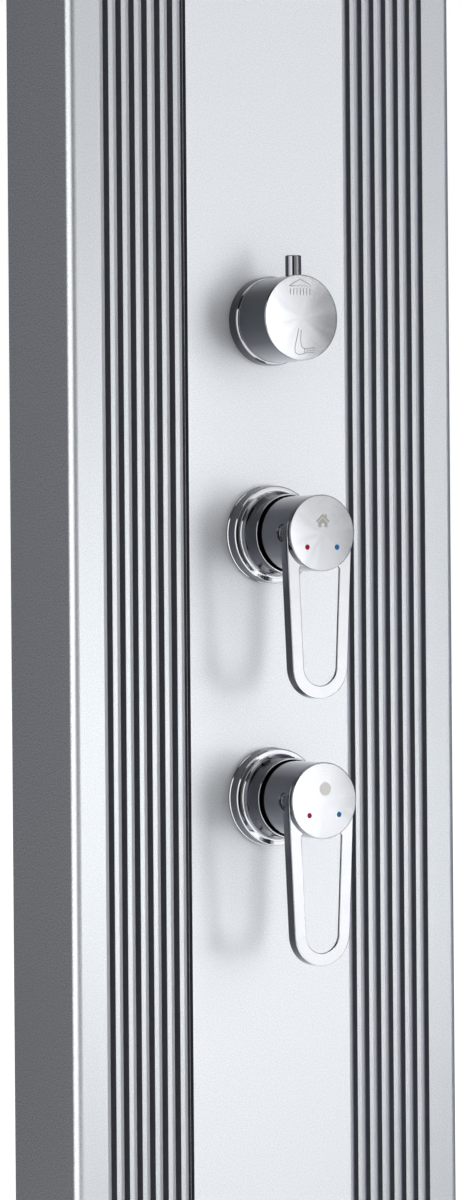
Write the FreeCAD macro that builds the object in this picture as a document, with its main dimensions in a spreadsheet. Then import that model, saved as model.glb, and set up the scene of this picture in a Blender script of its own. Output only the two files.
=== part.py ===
import FreeCAD, Part
import math
import os
from types import SimpleNamespace

import Sketcher
from FreeCAD import Placement, Rotation, Vector

# An outdoor shower column, in millimetres.
# The origin is on the floor, at the centre of the four anchor holes. Z points up, the front faces -Y.
# A station is a distance out of the front face, so stations inside the column are negative.

SIZES = {
    # column
    "column_width": 280.0,
    "column_depth": 80.0,
    "column_length": 2100.0,
    "corner_radius": 4.2,
    "rear_corner_radius": 1.2,
    "side_wall": 3.0,
    "front_wall": 3.0,
    "panel_width": 115.0,
    "panel_thickness": 3.6,
    "ledge_width": 12.0,
    "groove_width": 5.8,
    "groove_depth": 7.2,
    "groove_pitch": 9.1,
    "groove_web": 2.5,
    "rear_flange_width": 28.0,
    "rear_flange_thickness": 3.0,
    "rear_panel_thickness": 2.0,
    "rear_panel_gap": 0.4,
    # top cap
    "cap_thickness": 12.0,
    "cap_edge_radius": 2.5,
    "cap_plug_height": 16.0,
    "cap_plug_gap": 0.4,
    # base
    "base_width": 330.0,
    "base_depth": 230.0,
    "base_thickness": 8.0,
    "base_corner_radius": 14.0,
    "anchor_spacing_x": 270.0,
    "anchor_spacing_y": 174.0,
    "anchor_hole_radius": 6.0,
    "bracket_thickness": 4.0,
    "bracket_depth": 50.0,
    "bracket_height": 80.0,
    "bracket_foot": 50.0,
    # screws
    "screw_radius": 2.0,
    "screw_head_radius": 3.8,
    "screw_head_height": 2.4,
    "screw_end_gap": 60.0,
    "screw_bite": 2.6,
    "cap_screw_bite": 6.0,
    "foot_screw_radius": 3.0,
    "foot_screw_head_radius": 5.5,
    "foot_screw_head_height": 4.0,
    "foot_screw_bite": 7.0,
    # clearances
    "hole_clearance": 0.3,
    "thread_clearance": 0.05,
    "running_clearance": 0.05,
    "seat_clearance": 0.1,
    "end_clearance": 0.3,
    # heights of the fittings above the floor, or below the top of the column
    "solar_mixer_height": 1000.0,
    "mixer_spacing": 163.4,
    "diverter_spacing": 132.9,
    "arm_below_top": 80.0,
    "spout_height": 290.0,
    "inlet_height": 180.0,
    # parts shared by the fittings
    "gasket_thickness": 1.0,
    "shoulder_thickness": 4.0,
    "nut_thickness": 5.0,
    # mixer
    "flange_radius": 30.3,
    "flange_depth": 9.6,
    "flange_lid": 2.4,
    "flange_wall": 2.6,
    "flange_edge_radius": 1.3,
    "collar_radius": 24.9,
    "collar_wall": 0.9,
    "collar_front": 26.0,
    "collar_edge_radius": 0.4,
    "collar_root_radius": 2.0,
    "barrel_radius": 20.0,
    "barrel_front": 19.0,
    "mixer_shoulder_radius": 27.0,
    "chamber_radius": 22.0,
    "mixer_depth": 40.0,
    "mixer_nut_radius": 25.6,
    "cartridge_radius": 17.5,
    "cartridge_back": 14.0,
    "nut_spigot": 2.0,
    "neck_radius": 18.5,
    "neck_front": 27.6,
    "neck_bore": 11.6,
    "neck_edge_radius": 2.0,
    "carrier_radius": 10.5,
    "carrier_back": 8.3,
    "carrier_front": 35.0,
    "slot_clearance": 0.2,
    "slot_above": 6.4,
    "slot_below": 7.9,
    "pivot_station": 31.0,
    "pivot_radius": 1.5,
    "pivot_length": 18.6,
    "stem_radius": 4.0,
    "stem_back": 22.0,
    "stem_front": 54.0,
    # lever
    "hub_radius": 23.4,
    "hub_bore": 21.0,
    "hub_back": 30.0,
    "hub_web": 45.0,
    "boss_radius": 8.0,
    "boss_back": 41.0,
    "lever_length": 101.2,
    "lever_end_radius": 19.7,
    "arm_width": 7.8,
    "loop_depth": 7.5,
    "loop_front": 59.0,
    "loop_edge_radius": 0.5,
    "loop_corner_radius": 2.0,
    "loop_lip": 1.6,
    "loop_rim": 2.5,
    "lever_cap_thickness": 3.0,
    "lever_cap_edge_radius": 0.7,
    "grub_radius": 2.5,
    "grub_station": 52.4,
    "grub_end": 18.5,
    "grub_socket_radius": 1.25,
    "grub_socket_depth": 2.5,
    "grub_recess_radius": 5.4,
    "grub_recess_depth": 2.2,
    # diverter
    "ring_radius": 27.7,
    "ring_depth": 9.4,
    "ring_lid": 2.4,
    "ring_wall": 4.0,
    "ring_opening": 14.2,
    "ring_edge_radius": 2.4,
    "diverter_barrel_radius": 13.0,
    "diverter_barrel_front": 20.0,
    "diverter_shoulder_radius": 20.0,
    "diverter_chamber_radius": 18.0,
    "diverter_depth": 36.0,
    "diverter_nut_radius": 18.5,
    "plug_radius": 9.0,
    "plug_back": 30.0,
    "plug_front": 13.3,
    "spindle_radius": 5.0,
    "spindle_front": 35.0,
    "knob_radius": 26.5,
    "knob_bore": 23.0,
    "knob_back": 10.6,
    "knob_web": 24.0,
    "knob_front": 40.3,
    "knob_edge_radius": 0.8,
    "pin_radius": 5.0,
    "pin_station": 31.3,
    "pin_seat": 24.8,
    "pin_top": 38.8,
    "pin_tail_radius": 2.5,
    "pin_tail_length": 8.0,
    "pin_edge_radius": 0.8,
    "knob_grub_radius": 2.0,
    "knob_grub_length": 9.0,
    # ports and pipes
    "port_station": 25.0,
    "port_radius": 9.0,
    "mixer_port_reach": 34.0,
    "diverter_port_reach": 30.0,
    "passage_radius": 3.0,
    "passage_offset": 9.0,
    "pipe_radius": 6.0,
    "pipe_bore_radius": 4.8,
    "pipe_bend_radius": 13.0,
    "inner_lane": 62.0,
    "outer_lane": 95.0,
    "rear_lane_station": 41.5,
    "lane_change": 54.0,
    "lane_start": 32.0,
    # solar tank
    "tank_width": 230.0,
    "tank_depth": 25.0,
    "tank_wall": 2.0,
    "tank_bottom_height": 360.0,
    "tank_below_top": 120.0,
    "tank_port_above": 70.0,
    "tank_bracket_thickness": 2.0,
    "tank_bracket_height": 30.0,
    # shower arm and head
    "arm_radius": 10.5,
    "arm_bore_radius": 8.5,
    "arm_tail": 18.0,
    "arm_reach": 330.0,
    "arm_bend_radius": 45.0,
    "arm_turn_down": 80.0,
    "arm_flange_radius": 30.0,
    "arm_flange_depth": 6.0,
    "arm_flange_edge_radius": 1.5,
    "arm_nut_radius": 16.0,
    "ball_radius": 9.0,
    "ball_neck_radius": 4.5,
    "ball_neck_length": 15.0,
    "ball_passage_radius": 2.5,
    "sleeve_wall": 3.0,
    "sleeve_floor": 5.0,
    "sleeve_grip": 13.0,
    "head_nut_radius": 14.0,
    "head_nut_opening": 6.95,
    "head_nut_top": 6.0,
    "head_nut_lip": 4.0,
    "head_cup_top": 3.0,
    "head_cup_floor": 9.4,
    "head_boss_bottom": 16.0,
    "head_radius": 110.0,
    "head_edge_top": 26.0,
    "head_wall": 3.0,
    "head_plenum_edge": 27.0,
    "head_plenum_radius": 90.0,
    "head_bottom": 36.0,
    "head_edge_radius": 2.0,
    "head_passage_radius": 3.0,
    "face_radius": 98.0,
    "face_thickness": 3.0,
    "nozzle_radius": 2.2,
    "nozzle_tip_radius": 1.4,
    "nozzle_drop": 2.0,
    "nozzle_ring_gap": 26.0,
    # foot spout
    "spout_radius": 9.0,
    "spout_bore_radius": 7.0,
    "spout_reach": 62.0,
    "spout_bend_radius": 22.0,
    "spout_turn_down": 36.0,
    "spout_flange_radius": 22.0,
    "spout_flange_depth": 5.0,
    "spout_nut_radius": 14.0,
    "outlet_wall": 2.0,
    "outlet_length": 14.0,
    "outlet_overlap": 10.0,
    # inlets
    "inlet_spacing": 80.0,
    "inlet_radius": 10.48,
    "inlet_bore_radius": 7.0,
    "inlet_reach": 22.0,
    "inlet_flange_radius": 15.0,
    "inlet_flange_depth": 5.0,
    "inlet_tail": 26.0,
    "inlet_nut_radius": 16.0,
}

# Counts, and shares of a whole
GROOVE_COUNT = 7
REAR_SCREW_COUNT = 6
PANEL_SCREW_COUNT = 5
NOZZLE_RING_COUNT = 3
NOZZLE_COUNT_STEP = 6
BRACKET_SCREW_SHARE = 0.7
FOOT_SCREW_SHARE = 0.6
HALF_TURN_IN_RADIANS = math.pi
MATCH_SHARE = 1e-5

# Directions for a part whose own axis is Z
UP = Rotation()
DOWN = Rotation(Vector(1, 0, 0), 180)
OUT = Rotation(Vector(1, 0, 0), 90)
BACK = Rotation(Vector(1, 0, 0), -90)
RIGHT = Rotation(Vector(0, 1, 0), 90)
LEFT = Rotation(Vector(0, 1, 0), -90)


class Size:
    """A length that carries its value and the sheet expression that gives it."""

    def __init__(self, value, text):
        self.value = value
        self.text = text

    def __add__(self, other):
        return Size(self.value + other.value, f"({self.text} + {other.text})")

    def __sub__(self, other):
        return Size(self.value - other.value, f"({self.text} - {other.text})")

    def __mul__(self, factor):
        return Size(self.value * factor, f"({self.text} * {factor!r})")

    def __truediv__(self, factor):
        return Size(self.value / factor, f"({self.text} / {factor!r})")

    def __neg__(self):
        return Size(-self.value, f"(-{self.text})")


doc = FreeCAD.newDocument("OutdoorShower")
sheet = doc.addObject("Spreadsheet::Sheet", "Sizes")
for row, (name, value) in enumerate(SIZES.items(), start=1):
    sheet.set(f"A{row}", name)
    sheet.set(f"B{row}", str(value))
    sheet.setAlias(f"B{row}", name)
doc.recompute()

S = SimpleNamespace(**{name: Size(value, f"Sizes.{name}") for name, value in SIZES.items()})
parts = {}

# Places that several parts share
half_width = S.column_width / 2
front = -S.column_depth / 2
rear = S.column_depth / 2
column_bottom = S.base_thickness
column_top = S.base_thickness + S.column_length
panel_back = front + S.panel_thickness
web_back = front + S.groove_depth + S.groove_web
flange_rear = rear - S.rear_panel_thickness
flange_front = flange_rear - S.rear_flange_thickness
inner_side = half_width - S.side_wall
house_mixer_height = S.solar_mixer_height + S.mixer_spacing
diverter_height = house_mixer_height + S.diverter_spacing
arm_height = column_top - S.arm_below_top
shoulder_front = S.panel_thickness + S.gasket_thickness
shoulder_back = shoulder_front + S.shoulder_thickness
tank_top = column_top - S.tank_below_top
tank_front = flange_front - S.tank_depth
port_lane = front + S.port_station
rear_lane = front + S.rear_lane_station


def plain(size):
    """The value of a size, or a plain number as it is."""
    return size.value if isinstance(size, Size) else size


def bind(item, prop, size):
    """Ties a property of a document object to the sheet."""
    item.setExpression(prop, size.text)


def place(item, facing, x=0, y=0, z=0):
    """Turns an object and ties its position to the sheet."""
    item.Placement = Placement(Vector(plain(x), plain(y), plain(z)), facing)
    for axis, size in (("x", x), ("y", y), ("z", z)):
        if isinstance(size, Size):
            bind(item, f"Placement.Base.{axis}", size)
    return item


def keep(label, item):
    """Names a finished part, which gives the node and the file their name."""
    item.Label = label
    parts[label] = item
    return item


def rod(radius, length, facing, x=0, y=0, z=0):
    """A round bar that starts at a point and runs along a direction."""
    item = doc.addObject("Part::Cylinder", "Rod")
    bind(item, "Radius", radius)
    bind(item, "Height", length)
    return place(item, facing, x, y, z)


def block(length, width, height, x, y, z):
    """A box from its lowest corner."""
    item = doc.addObject("Part::Box", "Block")
    bind(item, "Length", length)
    bind(item, "Width", width)
    bind(item, "Height", height)
    return place(item, UP, x, y, z)


def joined(*items):
    """Several objects as one solid."""
    if len(items) == 1:
        return items[0]
    item = doc.addObject("Part::MultiFuse", "Joined")
    item.Shapes = list(items)
    item.Refine = True
    return item


def minus(base, *tools):
    """An object with others taken out of it."""
    item = doc.addObject("Part::Cut", "Cut")
    item.Base = base
    item.Tool = joined(*tools)
    item.Refine = True
    return item


def group(label, items):
    """Alike pieces kept as separate solids of one part."""
    item = doc.addObject("Part::Compound", "Group")
    item.Links = items
    return keep(label, item)


def new_body(name):
    return doc.addObject("PartDesign::Body", name)


def new_sketch(body, plane, offset=None):
    """A sketch on one of the body's own planes, moved along its normal by an offset."""
    sketch = body.newObject("Sketcher::SketchObject", "Sketch")
    support = [item for item in body.Origin.OriginFeatures if item.Role == plane]
    sketch.AttachmentSupport = [(support[0], "")]
    sketch.MapMode = "FlatFace"
    if offset is not None:
        sketch.AttachmentOffset = Placement(Vector(0, 0, offset.value), Rotation())
        bind(sketch, "AttachmentOffset.Base.z", offset)
    return sketch


def tie(sketch, kind, *refs, size):
    """Adds a dimension to a sketch and ties it to the sheet."""
    index = sketch.addConstraint(Sketcher.Constraint(kind, *refs, size.value))
    bind(sketch, f"Constraints[{index}]", size)


def tie_point(sketch, geometry, point, u, v):
    """Fixes a point of a sketch by its two distances from the origin."""
    if isinstance(u, Size):
        tie(sketch, "DistanceX", -1, 1, geometry, point, size=u)
    else:
        sketch.addConstraint(Sketcher.Constraint("PointOnObject", geometry, point, -2))
    if isinstance(v, Size):
        tie(sketch, "DistanceY", -1, 1, geometry, point, size=v)
    else:
        sketch.addConstraint(Sketcher.Constraint("PointOnObject", geometry, point, -1))


def closed_outline(sketch, points):
    """Draws straight lines round a list of corners."""
    corners = [Vector(plain(u), plain(v), 0) for u, v in points]
    count = len(corners)
    for index in range(count):
        line = Part.LineSegment(corners[index], corners[(index + 1) % count])
        sketch.addGeometry(line, False)
    for index in range(count):
        sketch.addConstraint(Sketcher.Constraint("Coincident", index, 2, (index + 1) % count, 1))
    for index, (u, v) in enumerate(points):
        tie_point(sketch, index, 1, u, v)
    return sketch


def circle(sketch, radius, u=0, v=0):
    """Draws a circle."""
    shape = Part.Circle(Vector(plain(u), plain(v), 0), Vector(0, 0, 1), radius.value)
    index = sketch.addGeometry(shape, False)
    tie(sketch, "Radius", index, size=radius)
    tie_point(sketch, index, 3, u, v)
    return sketch


def padded(body, sketch, length):
    """Adds material along the normal of a sketch."""
    feature = body.newObject("PartDesign::Pad", "Pad")
    feature.Profile = sketch
    bind(feature, "Length", length)
    return feature


def pocketed(body, sketch, length, forward=False):
    """Takes material away behind a sketch, or in front of it."""
    feature = body.newObject("PartDesign::Pocket", "Pocket")
    feature.Profile = sketch
    feature.Reversed = forward
    bind(feature, "Length", length)
    return feature


def edges_of(body, chosen):
    """The names of the edges that a test accepts."""
    doc.recompute()
    found = [f"Edge{i}" for i, edge in enumerate(body.Tip.Shape.Edges, start=1) if chosen(edge)]
    if not found:
        raise RuntimeError(f"no edge found on {body.Name}")
    return found


def rounded(body, radius, chosen):
    """Rounds the chosen edges of a body."""
    names = edges_of(body, chosen)
    base = body.Tip
    feature = body.newObject("PartDesign::Fillet", "Fillet")
    feature.Base = (base, names)
    bind(feature, "Radius", radius)


def near(one, other):
    return abs(one - other) <= MATCH_SHARE * (abs(one) + abs(other) + S.column_width.value)


def ring_edge(radius, station):
    """A test for the round edge of a turned part."""

    def chosen(edge):
        if not isinstance(edge.Curve, Part.Circle):
            return False
        return near(edge.Curve.Radius, radius.value) and near(edge.Curve.Center.z, station.value)

    return chosen


def axial_edge(*spots):
    """A test for straight edges along Z at some spots of the plan."""

    def chosen(edge):
        if len(edge.Vertexes) < 2:
            return False
        low, high = (vertex.Point for vertex in edge.Vertexes)
        axial = near(low.x, high.x) and near(low.y, high.y)
        return axial and any(near(low.x, plain(x)) and near(low.y, plain(y)) for x, y in spots)

    return chosen


def level_edge(level):
    """A test for edges that lie at one level."""

    def chosen(edge):
        box = edge.BoundBox
        return near(box.ZMin, level.value) and near(box.ZMax, level.value)

    return chosen


def turned(outline, facing=UP, x=0, y=0, z=0):
    """A body of revolution from an outline of radii and stations."""
    body = new_body("Turned")
    sketch = closed_outline(new_sketch(body, "XZ_Plane"), outline)
    feature = body.newObject("PartDesign::Revolution", "Revolution")
    feature.Profile = sketch
    feature.ReferenceAxis = (sketch, ["V_Axis"])
    feature.Angle = 360
    return place(body, facing, x, y, z)


def ring(outer, inner, start, end, facing=UP, x=0, y=0, z=0):
    """A flat ring between two stations."""
    return turned([(inner, start), (outer, start), (outer, end), (inner, end)], facing, x, y, z)


def hex_nut(radius, bore, facing, x, y, z):
    """A six-sided nut that starts at a point."""
    item = doc.addObject("Part::Prism", "Hexagon")
    item.Polygon = 6
    bind(item, "Circumradius", radius)
    bind(item, "Height", S.nut_thickness)
    place(item, facing, x, y, z)
    return minus(item, rod(bore, S.nut_thickness, facing, x, y, z))


def screw(length, facing, x, y, z):
    """A pan-head screw. The point is under its head and the head looks the given way."""
    away = facing.multiply(DOWN)
    head = rod(S.screw_head_radius, S.screw_head_height, facing, x, y, z)
    return joined(head, rod(S.screw_radius, length, away, x, y, z))


def path_edges(points, bend):
    """Straight runs through some points, joined by tangent arcs."""
    spots = [Vector(plain(x), plain(y), plain(z)) for x, y, z in points]
    edges = []
    start = spots[0]
    for before, corner, after in zip(spots, spots[1:], spots[2:]):
        arriving = (corner - before).normalize()
        leaving = (after - corner).normalize()
        turn = arriving.getAngle(leaving)
        trim = bend.value * math.tan(turn / 2)
        first = corner - arriving * trim
        last = corner + leaving * trim
        inward = (leaving - arriving).normalize()
        centre = corner + inward * (bend.value / math.cos(turn / 2))
        middle = centre - inward * bend.value
        edges.append(Part.LineSegment(start, first).toShape())
        edges.append(Part.Arc(first, middle, last).toShape())
        start = last
    edges.append(Part.LineSegment(start, spots[-1]).toShape())
    return edges


def swept(points, bend, radius):
    """A round bar along a path."""
    edges = path_edges(points, bend)
    path = Part.Wire(edges)
    heading = edges[0].tangentAt(edges[0].FirstParameter)
    start = edges[0].valueAt(edges[0].FirstParameter)
    section = Part.Wire([Part.Circle(start, heading, radius.value).toShape()])
    return path.makePipeShell([section], True, False)


def pipe(runs, bend, radius, bore):
    """A round pipe with one or more runs that open into each other."""
    outside = [swept(points, bend, radius) for points in runs]
    inside = [swept(points, bend, bore) for points in runs]
    shape = outside[0]
    for other in outside[1:]:
        shape = shape.fuse(other)
    for other in inside:
        shape = shape.cut(other)
    item = doc.addObject("Part::Feature", "Pipe")
    item.Shape = shape.removeSplitter()
    return item


def rows(count, end_gap):
    """Heights spread evenly over the column."""
    step = (S.column_length - end_gap * 2) / (count - 1)
    return [column_bottom + end_gap + step * index for index in range(count)]


# The column

rear_screw_side = half_width - (S.side_wall + S.rear_flange_width) / 2
panel_screw_side = S.panel_width / 2 - S.ledge_width / 2
rear_screw_rows = rows(REAR_SCREW_COUNT, S.screw_end_gap)
panel_screw_rows = rows(PANEL_SCREW_COUNT, S.screw_end_gap)
bracket_screw_height = column_bottom + S.bracket_height * BRACKET_SCREW_SHARE
bracket_screw_spread = S.bracket_depth / 4
cap_screw_height = column_top - S.cap_plug_height / 2
cap_screw_spread = S.column_depth / 5
tank_screw_rows = (S.tank_bottom_height - S.tank_bracket_height / 2, tank_top + S.tank_bracket_height / 2)
side_screw_places = [(y, bracket_screw_height) for y in (bracket_screw_spread, -bracket_screw_spread)]
cap_screw_places = [(y, cap_screw_height) for y in (cap_screw_spread, -cap_screw_spread)]


def left_extrusion():
    """The left side profile, before its screw holes."""
    inner = S.panel_width / 2
    groove_floor = front + S.groove_depth
    band_end = inner + S.groove_pitch * (GROOVE_COUNT - 1) + S.groove_width + S.side_wall
    flange_edge = half_width - S.rear_flange_width
    body = new_body("LeftExtrusion")
    outline = [
        (-half_width, front),
        (-inner - S.groove_width, front),
        (-inner - S.groove_width, groove_floor),
        (-inner, groove_floor),
        (-inner, panel_back),
        (-inner + S.ledge_width, panel_back),
        (-inner + S.ledge_width, web_back),
        (-band_end, web_back),
        (-band_end, front + S.front_wall),
        (-inner_side, front + S.front_wall),
        (-inner_side, flange_front),
        (-flange_edge, flange_front),
        (-flange_edge, flange_rear),
        (-inner_side, flange_rear),
        (-inner_side, rear),
        (-half_width, rear),
    ]
    padded(body, closed_outline(new_sketch(body, "XY_Plane"), outline), S.column_length)
    right_edge = -inner - S.groove_pitch
    left_edge = right_edge - S.groove_width
    mouth = front - S.groove_width
    sketch = new_sketch(body, "XY_Plane")
    deep = groove_floor
    corners = [(left_edge, mouth), (right_edge, mouth), (right_edge, deep), (left_edge, deep)]
    groove = pocketed(body, closed_outline(sketch, corners), S.column_length, forward=True)
    pattern = body.newObject("PartDesign::LinearPattern", "Grooves")
    pattern.Originals = [groove]
    pattern.Direction = (sketch, ["H_Axis"])
    pattern.Reversed = True
    bind(pattern, "Length", S.groove_pitch * (GROOVE_COUNT - 2))
    pattern.Occurrences = GROOVE_COUNT - 1
    body.Tip = pattern
    rounded(body, S.corner_radius, axial_edge((-half_width, front)))
    rounded(body, S.rear_corner_radius, axial_edge((-half_width, rear)))
    return place(body, UP, z=column_bottom)


def profiles():
    """The two side profiles, which mirror each other."""
    tapped = S.screw_radius + S.thread_clearance
    clear = S.screw_radius + S.hole_clearance
    holes = []
    for height in rear_screw_rows:
        holes.append(rod(tapped, S.rear_flange_thickness, BACK, -rear_screw_side, flange_front, height))
    for height in tank_screw_rows:
        holes.append(rod(tapped, S.rear_flange_thickness, BACK, -rear_screw_side, flange_front, height))
    for height in panel_screw_rows:
        holes.append(rod(clear, web_back - panel_back, BACK, -panel_screw_side, panel_back, height))
    for y, z in side_screw_places + cap_screw_places:
        holes.append(rod(clear, S.side_wall, RIGHT, -half_width, y, z))
    left = keep("left_profile", minus(left_extrusion(), *holes))
    right = doc.addObject("Part::Mirroring", "RightProfile")
    right.Source = left
    right.Normal = Vector(1, 0, 0)
    keep("right_profile", right)


def centre_panel():
    thick = S.panel_thickness
    plate = block(S.panel_width, thick, S.column_length, -S.panel_width / 2, front, column_bottom)
    openings = [
        (S.barrel_radius, S.solar_mixer_height),
        (S.barrel_radius, house_mixer_height),
        (S.diverter_barrel_radius, diverter_height),
        (S.arm_radius, arm_height),
        (S.spout_radius, S.spout_height),
    ]
    holes = [rod(radius + S.hole_clearance, thick, BACK, 0, front, z) for radius, z in openings]
    sides = (-panel_screw_side, panel_screw_side)
    tapped = S.screw_radius + S.thread_clearance
    holes += [rod(tapped, S.screw_bite, OUT, x, panel_back, z) for x in sides for z in panel_screw_rows]
    keep("centre_panel", minus(plate, *holes))
    length = web_back - panel_back + S.screw_bite
    group("panel_screws", [screw(length, BACK, x, web_back, z) for x in sides for z in panel_screw_rows])


def rear_panel():
    width = inner_side * 2 - S.rear_panel_gap * 2
    thick = S.rear_panel_thickness
    plate = block(width, thick, S.column_length, -width / 2, flange_rear, column_bottom)
    sides = (-rear_screw_side, rear_screw_side)
    clear = S.screw_radius + S.hole_clearance
    holes = [rod(clear, thick, BACK, x, flange_rear, z) for x in sides for z in rear_screw_rows]
    bore = S.inlet_radius + S.hole_clearance
    for x in (-S.inlet_spacing / 2, S.inlet_spacing / 2):
        holes.append(rod(bore, thick, BACK, x, flange_rear, S.inlet_height))
    keep("rear_panel", minus(plate, *holes))
    length = thick + S.rear_flange_thickness
    group("rear_panel_screws", [screw(length, BACK, x, rear, z) for x in sides for z in rear_screw_rows])


def top_cap():
    body = new_body("CapLid")
    corners = [(-half_width, front), (half_width, front), (half_width, rear), (-half_width, rear)]
    padded(body, closed_outline(new_sketch(body, "XY_Plane"), corners), S.cap_thickness)
    rounded(body, S.corner_radius, axial_edge(*corners))
    rounded(body, S.cap_edge_radius, level_edge(S.cap_thickness))
    place(body, UP, z=column_top)
    side = inner_side - S.cap_plug_gap
    back = flange_front - S.cap_plug_gap
    start = web_back + S.cap_plug_gap
    plug = block(side * 2, back - start, S.cap_plug_height, -side, start, column_top - S.cap_plug_height)
    bite = S.cap_screw_bite
    tapped = S.screw_radius + S.thread_clearance
    holes = [rod(tapped, bite, RIGHT, -side, y, z) for y, z in cap_screw_places]
    holes += [rod(tapped, bite, LEFT, side, y, z) for y, z in cap_screw_places]
    keep("top_cap", minus(joined(body, plug), *holes))
    length = S.side_wall + S.cap_plug_gap + bite
    screws = [screw(length, LEFT, -half_width, y, z) for y, z in cap_screw_places]
    screws += [screw(length, RIGHT, half_width, y, z) for y, z in cap_screw_places]
    group("top_cap_screws", screws)


def base():
    """The base plate, the two brackets that hold the column on it, and their screws."""
    body = new_body("BasePlate")
    x = S.base_width / 2
    y = S.base_depth / 2
    corners = [(-x, -y), (x, -y), (x, y), (-x, y)]
    padded(body, closed_outline(new_sketch(body, "XY_Plane"), corners), S.base_thickness)
    rounded(body, S.base_corner_radius, axial_edge(*corners))
    foot_side = inner_side - S.bracket_foot * FOOT_SCREW_SHARE
    spread = S.bracket_depth / 4
    foot_places = [(side, y) for side in (-foot_side, foot_side) for y in (-spread, spread)]
    holes = []
    for x in (-S.anchor_spacing_x / 2, S.anchor_spacing_x / 2):
        for y in (-S.anchor_spacing_y / 2, S.anchor_spacing_y / 2):
            holes.append(rod(S.anchor_hole_radius, S.base_thickness, UP, x, y))
    for x, y in foot_places:
        radius = S.foot_screw_radius + S.thread_clearance
        holes.append(rod(radius, S.foot_screw_bite, DOWN, x, y, column_bottom))
    keep("base_plate", minus(body, *holes))
    depth = S.bracket_depth
    thick = S.bracket_thickness
    tapped = S.screw_radius + S.thread_clearance
    clear = S.foot_screw_radius + S.hole_clearance
    brackets = []
    for upright_x, foot_x, facing, hole_x in (
        (-inner_side, -inner_side, RIGHT, -inner_side),
        (inner_side - thick, inner_side - S.bracket_foot, LEFT, inner_side),
    ):
        upright = block(thick, depth, S.bracket_height, upright_x, -depth / 2, column_bottom)
        foot = block(S.bracket_foot, depth, thick, foot_x, -depth / 2, column_bottom)
        holes = [rod(tapped, thick, facing, hole_x, y, z) for y, z in side_screw_places]
        side = -foot_side if facing is RIGHT else foot_side
        holes += [rod(clear, thick, UP, side, y, column_bottom) for y in (-spread, spread)]
        brackets.append(minus(joined(upright, foot), *holes))
    group("foot_brackets", brackets)
    length = S.side_wall + thick
    screws = [screw(length, LEFT, -half_width, y, z) for y, z in side_screw_places]
    screws += [screw(length, RIGHT, half_width, y, z) for y, z in side_screw_places]
    top = column_bottom + thick
    for x, y in foot_places:
        head = rod(S.foot_screw_head_radius, S.foot_screw_head_height, UP, x, y, top)
        shank = rod(S.foot_screw_radius, thick + S.foot_screw_bite, DOWN, x, y, top)
        screws.append(joined(head, shank))
    group("bracket_screws", screws)


# The mixers


def mixer_body(label, height):
    """The brass body: a barrel through the panel, a shoulder behind it and three ports."""
    cavity = S.cartridge_radius + S.seat_clearance
    shell = turned(
        [
            (0, -S.mixer_depth),
            (S.chamber_radius, -S.mixer_depth),
            (S.chamber_radius, -shoulder_back),
            (S.mixer_shoulder_radius, -shoulder_back),
            (S.mixer_shoulder_radius, -shoulder_front),
            (S.barrel_radius, -shoulder_front),
            (S.barrel_radius, S.barrel_front),
            (cavity, S.barrel_front),
            (cavity, -S.cartridge_back),
            (0, -S.cartridge_back),
        ],
        OUT, 0, front, height,
    )
    reach = S.mixer_port_reach
    across = rod(S.port_radius, reach * 2, RIGHT, -reach, port_lane, height)
    upward = rod(S.port_radius, reach, UP, 0, port_lane, height)
    offset = S.passage_offset
    bore = S.pipe_bore_radius
    drop = S.port_station - S.cartridge_back
    holes = [
        rod(bore, reach - offset, RIGHT, offset, port_lane, height),
        rod(bore, reach - offset, LEFT, -offset, port_lane, height),
        rod(bore, reach - offset, UP, 0, port_lane, height + offset),
        rod(S.passage_radius, drop, OUT, offset, port_lane, height),
        rod(S.passage_radius, drop, OUT, -offset, port_lane, height),
        rod(S.passage_radius, drop, OUT, 0, port_lane, height + offset),
    ]
    keep(label, minus(joined(shell, across, upward), *holes))


def escutcheon(label, height):
    """The chromed flange and collar that cover the fixing."""
    lid = S.flange_depth - S.flange_lid
    cavity = S.flange_radius - S.flange_wall
    bore = S.collar_radius - S.collar_wall
    body = turned(
        [
            (cavity, 0),
            (S.flange_radius, 0),
            (S.flange_radius, S.flange_depth),
            (S.collar_radius, S.flange_depth),
            (S.collar_radius, S.collar_front),
            (bore, S.collar_front),
            (bore, lid),
            (cavity, lid),
        ],
        OUT, 0, front, height,
    )
    rounded(body, S.flange_edge_radius, ring_edge(S.flange_radius, S.flange_depth))
    rounded(body, S.collar_root_radius, ring_edge(S.collar_radius, S.flange_depth))
    rounded(body, S.collar_edge_radius, ring_edge(S.collar_radius, S.collar_front))
    keep(label, body)


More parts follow.
